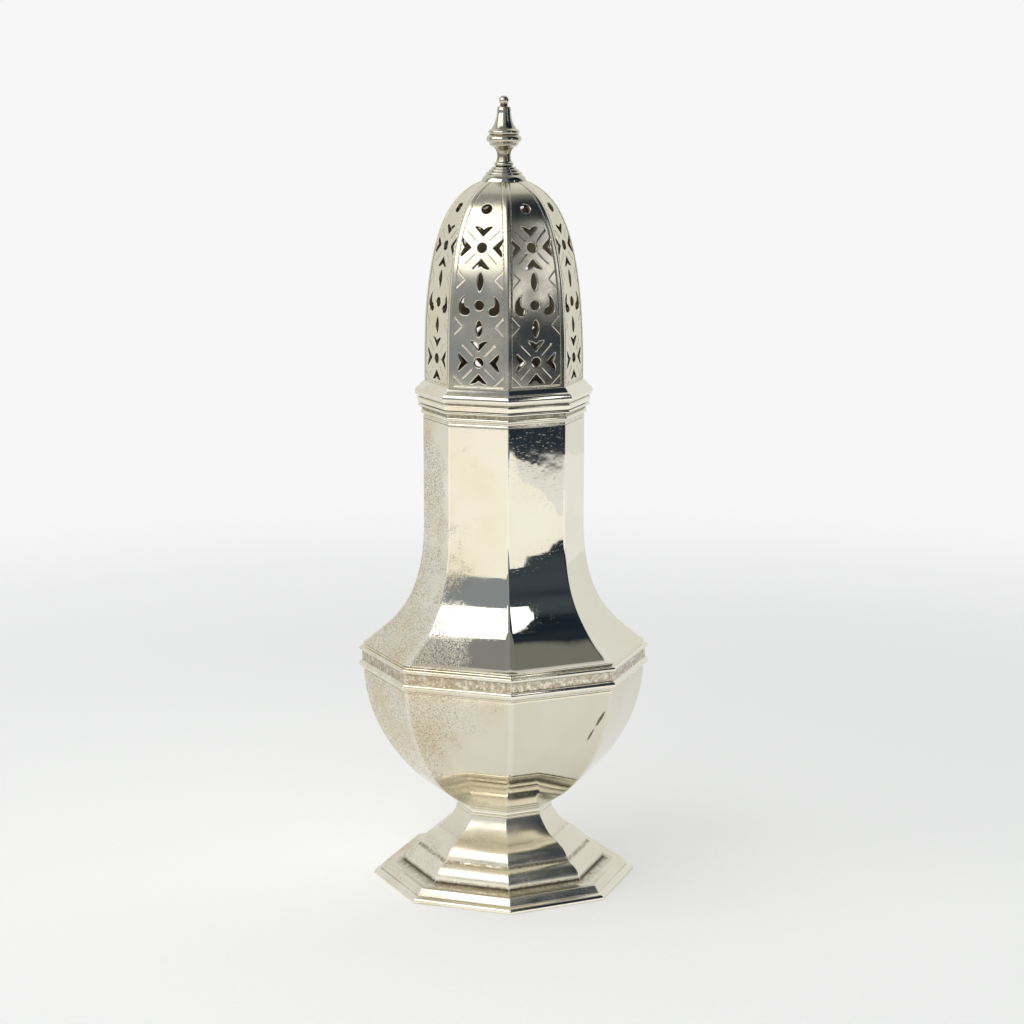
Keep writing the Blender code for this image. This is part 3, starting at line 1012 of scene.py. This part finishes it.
def corner_strip(side, inside):
    """Rounded strip from this panel's right edge to the next panel's left edge.

    A point is (flat distance - corner) * tip + corner * facing, where the facing
    swings from one panel's middle direction to the next one's.
    """
    rows = inner_rows if inside else outer_rows
    corner = INNER_CORNER if inside else DOME_CORNER
    here, there = edges[inside][side], edges[inside][(side + 1) % SIDES]
    tall = len(rows)
    right = here[ACROSS:ACROSS + tall]
    left = np.r_[there[0], there[2 * ACROSS + tall:][::-1], there[2 * ACROSS + tall - 1]]
    reach, height, out, up = wall_at(rows)
    if inside:
        reach, height = reach - WALL * out, height - WALL * up
    middle = 2 * (side + 1) * HALF_SIDE
    swing = middle + np.linspace(-HALF_SIDE, HALF_SIDE, CORNER_STEPS + 1)
    tip = np.array([np.cos(middle), np.sin(middle)]) / FLAT
    facing = np.column_stack([np.cos(swing), np.sin(swing)])
    plan = (reach - corner)[:, None, None] * tip + corner * facing
    points = np.dstack([plan, np.repeat(height[:, None], CORNER_STEPS + 1, axis=1)])
    lift = facing @ tip
    normals = np.dstack([out[:, None, None] * facing, up[:, None] * lift])
    normals = normals / np.linalg.norm(normals, axis=2, keepdims=True) * (-1 if inside else 1)
    points, normals = planish(points, normals, DOME_SLOPE)
    between = points[:, 1:-1]
    first = add_points(between.reshape(-1, 3), 0.0, float(inside))
    number = np.empty((tall, CORNER_STEPS + 1), int)
    number[:, 1:-1] = first + np.arange(between[..., 0].size).reshape(tall, -1)
    number[:, 0], number[:, -1] = right, left
    quads = np.dstack([number[:-1, :-1], number[:-1, 1:], number[1:, 1:], number[1:, :-1]])
    spot = np.arange(number.size).reshape(number.shape)
    spots = np.dstack([spot[:-1, :-1], spot[:-1, 1:], spot[1:, 1:], spot[1:, :-1]])
    quads, spots = quads.reshape(-1, 4), spots.reshape(-1, 4)
    if inside:
        quads, spots = quads[:, ::-1], spots[:, ::-1]
    add_faces(quads, normals.reshape(-1, 3)[spots])
    return number[0], number[-1]


low_loop, high_loop = {}, {}
for inside in (False, True):
    low, high = [], []
    tall = len(inner_rows if inside else outer_rows)
    for side in range(SIDES):
        base, crown = corner_strip(side, inside)
        low += [edges[inside][side][:ACROSS + 1], base[1:-1]]
        high += [edges[inside][side][ACROSS + tall - 1:][:ACROSS + 1][::-1], crown[1:-1]]
    low_loop[inside], high_loop[inside] = np.concatenate(low), np.concatenate(high)
print("points round the dome's base:", len(low_loop[False]), "and crown:", len(high_loop[False]))

# %% [markdown]
# ## Closing the dome
#
# A flat strip at the base and one at the crown join outside to inside. Then the
# patches become one closed solid, with the cuts noted as low places, where a little
# tarnish stays.

# %% Close the dome
down = np.tile((0.0, 0.0, -1.0), (len(low_loop[False]), 1))
wall_band(low_loop[True], low_loop[False], down)
wall_band(high_loop[False], high_loop[True], -down)

dome_points = np.vstack(tray["points"])
depth_note = np.concatenate(tray["cut"])
notes = {"inside": np.concatenate(tray["inside"]), "relief": 0.25 * depth_note,
         "arris": 0 * depth_note}
pierced_dome = make_object("pierced_dome_skin", dome_points, tray["faces"], notes)[0]
pierced_dome.data.normals_split_custom_set(np.vstack(tray["normals"]).tolist())
attach(pierced_dome, COVER, "pierced_dome")

# %% [markdown]
# ## A bench for building finishes
#
# Finishes are node trees. `Bench` keeps their making short: `put` adds a node and
# fills its sockets with numbers or with other nodes' outputs. Effects that several
# finishes share are node groups, built once.

# %% Node bench
class Bench:
    """Adds nodes to a tree; values given by socket name may be numbers or outputs."""

    def __init__(self, tree):
        """Keeps the tree that the bench works on."""
        self.tree = tree

    def put(self, kind, values=(), **settings):
        """A new node with its settings and socket values; returns the node."""
        node = self.tree.nodes.new(kind)
        for key, value in settings.items():
            setattr(node, key, value)
        for key, value in dict(values).items():
            if isinstance(value, bpy.types.NodeSocket):
                self.tree.links.new(value, node.inputs[key])
            else:
                node.inputs[key].default_value = value
        return node

    def maths(self, first, second, operation="MULTIPLY", clamp=False):
        """Arithmetic on two numbers or outputs."""
        node = self.put("ShaderNodeMath", {0: first, 1: second}, operation=operation)
        node.use_clamp = clamp
        return node.outputs[0]

    def ramp(self, value, low, high, start=0.0, end=1.0):
        """Smooth step: `start` below low, `end` above high."""
        node = self.put("ShaderNodeMapRange", {0: value, 1: low, 2: high, 3: start, 4: end},
                        interpolation_type="SMOOTHSTEP")
        return node.outputs[0]

    def mix(self, factor, first, second):
        """Colour mix by a factor."""
        node = self.put("ShaderNodeMix", data_type="RGBA")
        for slot, value in ((0, factor), (6, first), (7, second)):
            if isinstance(value, bpy.types.NodeSocket):
                self.tree.links.new(value, node.inputs[slot])
            else:
                node.inputs[slot].default_value = value
        return node.outputs[2]

    def noise(self, place, scale, detail=3.0, rough=0.55):
        """Cloudy noise from 0 to 1; scale counts clouds in a metre."""
        return self.put("ShaderNodeTexNoise", {"Vector": place, "Scale": scale, "Detail": detail,
                                               "Roughness": rough}).outputs[0]


def new_group(name, inputs, outputs):
    """An empty shader node group with named sockets; returns it, its bench and its two ends."""
    group = bpy.data.node_groups.new(name, "ShaderNodeTree")
    for key, kind in inputs:
        group.interface.new_socket(key, in_out="INPUT", socket_type=kind)
    for key, kind in outputs:
        group.interface.new_socket(key, in_out="OUTPUT", socket_type=kind)
    bench = Bench(group)
    return group, bench, bench.put("NodeGroupInput").outputs, bench.put("NodeGroupOutput").inputs


NUMBER, COLOUR, PLACE = "NodeSocketFloat", "NodeSocketColor", "NodeSocketVector"
print("node helpers on the bench:", [name for name in dir(Bench) if name[0] != "_"])

# %% [markdown]
# ## Pits, left by a century of salt air and sugar
#
# One side of this caster is frosted with tiny pits. A fine cell pattern, cut by a
# cloudy mask, gives clusters of specks of a few tenths of a millimetre, with clean
# metal between. The group gives the specks' mask and their depth.

# %% Pitting
pitting, bench, given, out = new_group(
    "pitting", [("Place", PLACE), ("Where", NUMBER)], [("Specks", NUMBER), ("Depth", NUMBER)])
cells = bench.put("ShaderNodeTexVoronoi", {"Vector": given["Place"], "Scale": 1700.0,
                                           "Randomness": 1.0}, feature="F1")
coarse = bench.noise(given["Place"], 2600.0, 4.0, 0.65)
cloud = bench.noise(given["Place"], 260.0, 5.0, 0.62)
near = bench.ramp(cells.outputs["Distance"], 0.36, 0.12)
grain = bench.ramp(coarse, 0.50, 0.62)
share = bench.ramp(bench.maths(given["Where"], cloud, "ADD"), 0.78, 1.38)
specks = bench.maths(bench.maths(near, grain, "MAXIMUM"), share)
bench.tree.links.new(specks, out["Specks"])
bench.tree.links.new(bench.maths(specks, -1.0), out["Depth"])
print(pitting.name, "nodes:", len(pitting.nodes))

# %% [markdown]
# ## Two knocks
#
# The bowl has taken two glancing knocks on one flat, each a short slanted dent with
# dark tarnish in it. A ball pattern, stretched long, turned and moved to its place by a
# mapping, marks each one; a little noise frays its edge.

# %% Knocks
KNOCKS = (  # centre in metres, lean in degrees, half sizes in metres
    ((0.0204, -0.0238, 0.0430), 31.0, (0.00058, 0.004, 0.0030)),
    ((0.0182, -0.0238, 0.0392), 27.5, (0.00040, 0.004, 0.0025)),
)
knocks, bench, given, out = new_group("knocks", [("Place", PLACE)], [("Mark", NUMBER)])
fray = bench.maths(bench.noise(given["Place"], 1500.0, 3.0), 0.5)
mark = 0.0
for centre, lean, size in KNOCKS:
    moved = bench.put("ShaderNodeMapping", {"Vector": given["Place"], "Location": centre,
                                            "Rotation": (0.0, np.radians(lean), 0.0),
                                            "Scale": size}, vector_type="TEXTURE")
    ball_shape = bench.put("ShaderNodeTexGradient", {"Vector": moved.outputs[0]},
                           gradient_type="SPHERICAL").outputs["Fac"]
    dent = bench.ramp(bench.maths(ball_shape, fray, "SUBTRACT"), -0.05, 0.25)
    mark = bench.maths(bench.maths(dent, bench.ramp(ball_shape, 0.0, 0.2)), mark, "MAXIMUM")
bench.tree.links.new(mark, out["Mark"])
print(knocks.name, "marks:", len(KNOCKS))

# %% [markdown]
# ## Fine scratches
#
# Cloths and drawers leave hairline scratches in every direction. Cloudy noise that is
# stretched over forty times along one direction looks like a sheaf of hairs; three
# such sheaves at different turns cover the metal. They only stir the roughness and the
# bump, never the colour.

# %% Scratches
scratches, bench, given, out = new_group(
    "scratches", [("Place", PLACE)], [("Hairs", NUMBER)])
hairs = 0.0
for turn in ((0.3, 0.2, 0.9), (1.2, -0.5, 2.1), (-0.7, 0.9, 0.1)):
    turned = bench.put("ShaderNodeMapping", {"Vector": given["Place"], "Rotation": turn,
                                             "Scale": (60.0, 2600.0, 2600.0)})
    sheaf = bench.noise(turned.outputs[0], 1.0, 2.0)
    hairs = bench.maths(bench.ramp(sheaf, 0.66, 0.74), hairs, "MAXIMUM")
bench.tree.links.new(hairs, out["Hairs"])
print(scratches.name, "nodes:", len(scratches.nodes))

# %% [markdown]
# ## Tarnish
#
# Silver first turns straw yellow, then brown, then near black. It gathers where a
# cloth can't reach, which the relief note tells, and in broad clouds elsewhere. The
# group mixes clean metal, warm toning and dark tarnish, and says how dull it is.

# %% Tarnish
STRAW, BROWN = (0.70, 0.60, 0.42, 1.0), (0.24, 0.17, 0.085, 1.0)
BLACK, PIT = (0.045, 0.035, 0.025, 1.0), (0.25, 0.20, 0.14, 1.0)
tarnish, bench, given, out = new_group(
    "tarnish",
    [("Place", PLACE), ("Relief", NUMBER), ("Specks", NUMBER), ("Warm", NUMBER), ("Clean", COLOUR)],
    [("Metal", COLOUR), ("Dull", NUMBER)])
broad = bench.noise(given["Place"], 70.0, 3.0)
fine = bench.noise(given["Place"], 1100.0, 5.0, 0.7)
straw = bench.maths(bench.ramp(broad, 0.35, 0.75), given["Warm"])
metal = bench.mix(straw, given["Clean"], STRAW)
low = bench.ramp(given["Relief"], 0.03, 0.16)
mottle = bench.ramp(fine, 0.30, 0.62)
brown = bench.maths(low, bench.maths(mottle, 0.75))
metal = bench.mix(brown, metal, BROWN)
deep = bench.ramp(given["Relief"], 0.14, 0.30)
metal = bench.mix(bench.maths(deep, 0.85), metal, BLACK)
metal = bench.mix(bench.maths(given["Specks"], 0.60), metal, PIT)
dull = bench.maths(bench.maths(brown, given["Specks"], "MAXIMUM"), deep, "MAXIMUM")
bench.tree.links.new(metal, out["Metal"])
bench.tree.links.new(dull, out["Dull"])
print(tarnish.name, "nodes:", len(tarnish.nodes))

# %% [markdown]
# ## The silver finishes
#
# Every finish is polished silver with its own story: how clean, how warm, how rough,
# and how pitted. The pitted side is chosen by Object coordinates, so it stays put on
# the metal. The corners, most rubbed, are the palest. Metallic is a plain 1 on the
# shader, and one bump carries the ripple, the pits, the knocks and the hairlines.

# %% Silver finish
WORN_FROM, WORN_TO = 0.003, -0.024     # across, in metres: clean to the right, pitted to the left
RUBBED, KNOCKED, INSIDE = (0.90, 0.88, 0.80, 1.0), (0.08, 0.065, 0.04, 1.0), (0.50, 0.45, 0.34, 1.0)
RIPPLE, PIT_DEPTH, KNOCK_DEPTH, HAIR_DEPTH = 0.55, 1.5, -6.0, -0.10
BUMP_STEP = 0.000012


def silver_finish(name, clean, gloss, warm, pitted, haze=0.05, relief_gain=1.0):
    """A silver material: clean colour, base roughness, warmth, pitting and haze."""
    material = bpy.data.materials.new(name)
    material.use_nodes = True
    bench = Bench(material.node_tree)
    link = material.node_tree.links.new
    shader = material.node_tree.nodes["Principled BSDF"]
    place = bench.put("ShaderNodeTexCoord").outputs["Object"]
    relief, inside, arris = (bench.put("ShaderNodeAttribute", attribute_name=key).outputs["Fac"]
                             for key in ("relief", "inside", "arris"))
    across = bench.put("ShaderNodeSeparateXYZ", {"Vector": place}).outputs["X"]
    wander = bench.maths(bench.maths(bench.noise(place, 55.0, 3.0), 0.5, "SUBTRACT"), 0.05)
    worn_side = bench.ramp(bench.maths(across, wander, "ADD"), WORN_FROM, WORN_TO)
    pits = bench.put("ShaderNodeGroup", node_tree=pitting)
    marks = bench.put("ShaderNodeGroup", node_tree=knocks)
    hair = bench.put("ShaderNodeGroup", node_tree=scratches)
    tone = bench.put("ShaderNodeGroup", node_tree=tarnish)
    for group in (pits, marks, hair, tone):
        link(place, group.inputs["Place"])
    link(bench.maths(worn_side, pitted), pits.inputs["Where"])
    link(bench.maths(relief, relief_gain), tone.inputs["Relief"])
    link(pits.outputs["Specks"], tone.inputs["Specks"])
    link(bench.maths(bench.maths(worn_side, 0.70), warm, "ADD"), tone.inputs["Warm"])
    tone.inputs["Clean"].default_value = (*clean, 1.0)

    metal = bench.mix(bench.maths(arris, 0.35), tone.outputs["Metal"], RUBBED)
    metal = bench.mix(bench.maths(marks.outputs["Mark"], 0.85), metal, KNOCKED)
    link(bench.mix(inside, metal, INSIDE), shader.inputs["Base Color"])

    smear = bench.ramp(bench.noise(place, 120.0, 4.0), 0.35, 0.75, 0.0, haze)
    rough = bench.maths(smear, gloss, "ADD")
    for effect, share in ((hair.outputs["Hairs"], 0.025), (tone.outputs["Dull"], 0.34),
                          (inside, 0.22), (worn_side, 0.10 * pitted)):
        rough = bench.maths(rough, bench.maths(effect, share), "ADD")
    link(rough, shader.inputs["Roughness"])
    shader.inputs["Metallic"].default_value = 1.0

    height = bench.maths(bench.noise(place, 330.0, 2.0, 0.4), RIPPLE)
    for effect, share in ((pits.outputs["Depth"], PIT_DEPTH), (marks.outputs["Mark"], KNOCK_DEPTH),
                          (hair.outputs["Hairs"], HAIR_DEPTH)):
        height = bench.maths(height, bench.maths(effect, share), "ADD")
    bump = bench.put("ShaderNodeBump", {"Strength": 1.0, "Distance": BUMP_STEP, "Height": height})
    link(bump.outputs["Normal"], shader.inputs["Normal"])
    return material


print("the pitted side begins at x, mm:", WORN_FROM / MM)

# %% [markdown]
# ## Which finish each piece wears
#
# The numbers are the clean colour, the roughness, the warmth and the share of
# pitting. Neck and bowl are the most polished. The mouldings hold a little more
# tarnish, the dome is softer from its engraving, and the sleeve is rubbed dull.

# %% Finishes
CLEAN = (0.80, 0.768, 0.665)
finishes = {
    "body": silver_finish("body_silver", CLEAN, 0.02, 0.20, 1.0, haze=0.03),
    "bowl": silver_finish("bowl_silver", (0.775, 0.735, 0.615), 0.03, 0.35, 1.0, haze=0.04),
    "foot": silver_finish("foot_silver", CLEAN, 0.17, 0.15, 0.5, haze=0.12),
    "moulding": silver_finish("moulding_silver", (0.83, 0.80, 0.70), 0.07, 0.15, 0.5),
    "dome": silver_finish("dome_silver", (0.73, 0.69, 0.575), 0.15, 0.3, 0.35, haze=0.14,
                          relief_gain=0.5),
    "sleeve": silver_finish("sleeve_silver", (0.62, 0.57, 0.46), 0.26, 0.3, 0.0, haze=0.15),
    # The finial's clean colour is set dark as painted shade, standing in for the darker reflections
    # on its bell.
    "finial": silver_finish("finial_silver", (0.56, 0.535, 0.465), 0.09, 0.3, 0.3, haze=0.1),
}
wearing = {
    "body": (stem_collar, upper_body),
    "bowl": (bowl,),
    "foot": (foot,),
    "moulding": (foot_rim, girdle, neck_moulding, cover_moulding),
    "dome": (pierced_dome,),
    "sleeve": (cover_sleeve,),
    "finial": (finial, finial_collar),
}
for key, pieces in wearing.items():
    for piece in pieces:
        piece.data.materials.append(finishes[key])
print("finishes:", sorted(finishes))

# %% [markdown]
# ## The table
#
# The caster stands on a plain pale sheet. Close to the caster it takes soft shadow;
# further out it melts into the pale background, so no horizon shows.

# %% Table
TABLE_REACH = 0.62
BACKDROP = 0.93


def disc(name, radius, rings=24, steps=96):
    """Flat disc: points at ring radius times the directions of a circle, at height zero."""
    reach = radius * np.linspace(0, 1, rings + 1)[1:] ** 1.2
    facing = circle(steps)[0]
    points = np.vstack([np.zeros((1, 3)), np.dstack(
        [reach[:, None, None] * facing, np.zeros((rings, steps))]).reshape(-1, 3)])
    number = 1 + np.arange(rings * steps).reshape(rings, steps)
    after = np.roll(number, -1, axis=1)
    quads = np.dstack([number[:-1], number[1:], after[1:], after[:-1]]).reshape(-1, 4)
    hub = np.column_stack([0 * number[0], number[0], after[0]])
    mesh = bpy.data.meshes.new(name)
    mesh.from_pydata(points.tolist(), [], quads.tolist() + hub.tolist())
    return bpy.data.objects.new(name, mesh)


table = disc("table", TABLE_REACH)
bpy.context.scene.collection.objects.link(table)
table_paper = bpy.data.materials.new("table_paper")
table_paper.use_nodes = True
bench = Bench(table_paper.node_tree)
place = bench.put("ShaderNodeTexCoord").outputs["Object"]
away = bench.put("ShaderNodeVectorMath", {0: place}, operation="LENGTH").outputs["Value"]
fade = bench.ramp(away, 0.16, 0.50)
tooth = bench.noise(place, 900.0, 3.0)
paper = table_paper.node_tree.nodes["Principled BSDF"]
paper.inputs["Roughness"].default_value = 0.9
paper.inputs["Specular IOR Level"].default_value = 0.15
link = table_paper.node_tree.links.new
paper_colour = bench.mix(bench.ramp(tooth, 0.2, 0.8), (0.865, 0.865, 0.86, 1),
                         (0.885, 0.885, 0.88, 1))
link(paper_colour, paper.inputs["Base Color"])
glow = bench.put("ShaderNodeEmission", {"Color": (BACKDROP, BACKDROP, BACKDROP, 1)})
blend = bench.put("ShaderNodeMixShader", {0: fade, 1: paper.outputs[0], 2: glow.outputs[0]})
link(blend.outputs[0], table_paper.node_tree.nodes["Material Output"].inputs["Surface"])
table.data.materials.append(table_paper)
print("table radius, m:", TABLE_REACH, "and its faces:", len(table.data.polygons))

# %% [markdown]
# ## The studio
#
# Polished silver shows its surroundings, so the surroundings are built with care. A
# bright tent stands behind and beside; in front, the room is grey to the left and
# dark to the right, and overhead these differences are smaller. The camera itself
# sees one plain pale backdrop in every direction.

# %% Room
room = bpy.data.worlds.new("room")
bpy.context.scene.world = room
room.use_nodes = True
bench = Bench(room.node_tree)
way = bench.put("ShaderNodeTexCoord").outputs["Generated"]
split = bench.put("ShaderNodeSeparateXYZ", {"Vector": way}).outputs
turn = bench.maths(split["X"], bench.maths(split["Y"], -1.0), "ARCTAN2")
climb = bench.maths(split["Z"], 0.0, "ARCSINE")
front = bench.ramp(bench.maths(turn, 0.0, "ABSOLUTE"), 2.05, 1.80)
right = bench.ramp(turn, 0.30, 0.50)
overhead = bench.ramp(climb, 1.00, 1.12)
room_cloud = bench.noise(way, 2.2, 2.0)
tent = bench.mix(overhead, (0.83, 0.84, 0.81, 1), (0.62, 0.62, 0.60, 1))
grey_side = bench.mix(overhead, (0.275, 0.31, 0.35, 1), (0.27, 0.275, 0.285, 1))
dark_side = bench.mix(bench.ramp(room_cloud, 0.42, 0.62), (0.012, 0.021, 0.034, 1),
                      (0.055, 0.068, 0.088, 1))
dark_side = bench.mix(bench.ramp(climb, 1.045, 1.09), dark_side, (0.20, 0.205, 0.19, 1))
facing_room = bench.mix(right, grey_side, dark_side)
surround = bench.mix(front, tent, facing_room)
seen = bench.put("ShaderNodeLightPath").outputs["Is Camera Ray"]
surround = bench.mix(seen, surround, (BACKDROP, BACKDROP, BACKDROP, 1))
room.node_tree.links.new(surround, room.node_tree.nodes["Background"].inputs["Color"])
print("room nodes:", len(room.node_tree.nodes))

# %% [markdown]
# ## Cards for the reflections
#
# A studio that lights silver works with white card more than with lamps. Two low walls
# stand in front and give the neck its cream light; the right one has a torn upper
# edge, whose outline the metal repeats. A tall soft light stands at the left, and a
# narrow leaning window at the right. The camera never sees them.

# %% Cards
CARD_STEPS = 241
TEAR = ((0.0006, 5.3), (0.0003, 12.1))     # height in metres, pace in radians a degree


def card(name, turn, distance, low, high, width, colour, strength, lights=True, lean=0.0):
    """An upright card that faces the caster, hidden from the camera.

    turn is in degrees from the camera's side, positive to the right. The card is a
    grid bent round the caster's axis: distance times (sine, -cosine) of the turn.
    `high` is one height or a list of (turn, height) pairs; a list also gets a torn
    edge, a sum of small sines. `lean` moves the upper edge round by some degrees.
    """
    half = np.degrees(width / distance) / 2
    turns = np.linspace(turn - half, turn + half, CARD_STEPS)
    top = 0 * turns + high if np.isscalar(high) else np.interp(turns, *np.array(high).T)
    if not np.isscalar(high):
        top = top + sum(size * np.sin(turns * pace) for size, pace in TEAR)
    turns = np.radians(np.vstack([turns, turns + lean]))
    heights = np.vstack([low + 0 * top, top])
    x, y = distance * np.sin(turns), -distance * np.cos(turns)
    points = np.dstack([x, y, heights]).reshape(-1, 3)
    lower = np.arange(CARD_STEPS - 1)
    quads = np.column_stack([lower, lower + 1, lower + CARD_STEPS + 1, lower + CARD_STEPS])
    mesh = bpy.data.meshes.new(name)
    mesh.from_pydata(points.tolist(), [], quads.tolist())
    panel = bpy.data.objects.new(name, mesh)
    bpy.context.scene.collection.objects.link(panel)
    glow = bpy.data.materials.new(name + "_glow")
    glow.use_nodes = True
    bench = Bench(glow.node_tree)
    lamp = bench.put("ShaderNodeEmission", {"Color": (*colour, 1), "Strength": strength})
    glow.node_tree.links.new(lamp.outputs[0],
                             glow.node_tree.nodes["Material Output"].inputs["Surface"])
    mesh.materials.append(glow)
    panel.visible_camera = False
    panel.visible_shadow = False
    panel.visible_diffuse = lights
    return panel


torn_edge = [(10, 0.0665), (42, 0.079), (44, 0.078), (44.5, 0.0705), (46, 0.068), (47.5, 0.064),
             (48.3, 0.060), (51, 0.0665)]
card("low_wall_left", -50, 0.155, 0.0, 0.090, 0.26, (1.0, 0.97, 0.90), 1.12, False)
card("low_wall_right", 48, 0.165, 0.0, torn_edge, 0.29, (1.0, 0.985, 0.93), 1.10, False)
card("soft_light", -55, 0.25, 0.200, 0.52, 0.34, (1.0, 0.99, 0.96), 2.2)
card("window", 45.3, 0.16, 0.140, 0.262, 0.0084, (1.0, 1.0, 1.0), 2.0, False, lean=12.1)
print("the torn edge runs from", torn_edge[0][0], "to", torn_edge[-1][0], "degrees")

# %% [markdown]
# ## The overhead light
#
# One large soft light overhead evens out the table, so that the shadow from the side
# light stays faint. It casts no shadow of its own and is kept out of reflections,
# since the ceiling of the tent is what the silver shows.

# %% Overhead light
lamp_data = bpy.data.lights.new("overhead", "AREA")
lamp_data.shape = "DISK"
lamp_data.size = 1.3
lamp_data.energy = 9.6
lamp_data.use_shadow = False
overhead_lamp = bpy.data.objects.new("overhead", lamp_data)
bpy.context.scene.collection.objects.link(overhead_lamp)
overhead_lamp.location = (-0.35, -0.30, 1.2)
overhead_lamp.rotation_euler = (-overhead_lamp.location).to_track_quat("-Z", "Y").to_euler()
overhead_lamp.visible_glossy = False
overhead_lamp.visible_camera = False
print("overhead light height, m:", overhead_lamp.location.z)

# %% [markdown]
# ## The camera
#
# A long lens, a little above the caster, looks at the middle of its axis. One corner
# of the octagon nearly faces it.

# %% Camera
camera_data = bpy.data.cameras.new("studio_camera")
camera = bpy.data.objects.new("studio_camera", camera_data)
bpy.context.scene.collection.objects.link(camera)
DISTANCE, LOOK_HEIGHT, ABOVE, ASIDE = 0.5624, 0.0859, np.radians(10.61), np.radians(-2.85)
aim = Vector((0.0, 0.0, LOOK_HEIGHT))
camera.location = aim + DISTANCE * Vector((np.cos(ABOVE) * np.sin(ASIDE),
                                           -np.cos(ABOVE) * np.cos(ASIDE), np.sin(ABOVE)))
camera.rotation_euler = (aim - camera.location).to_track_quat("-Z", "Y").to_euler()
camera_data.sensor_width = 36.0
camera_data.lens = 86.34
camera_data.shift_x = 0.0079
camera_data.clip_start = 0.01
bpy.context.scene.camera = camera
bpy.context.scene.view_settings.view_transform = "Standard"
print("camera distance, m:", DISTANCE, "lens, mm:", round(camera_data.lens, 2))

# %% [markdown] ## Counting the dressed pieces

# %% Finish
print("pieces dressed:", sum(len(pieces) for pieces in wearing.values()))
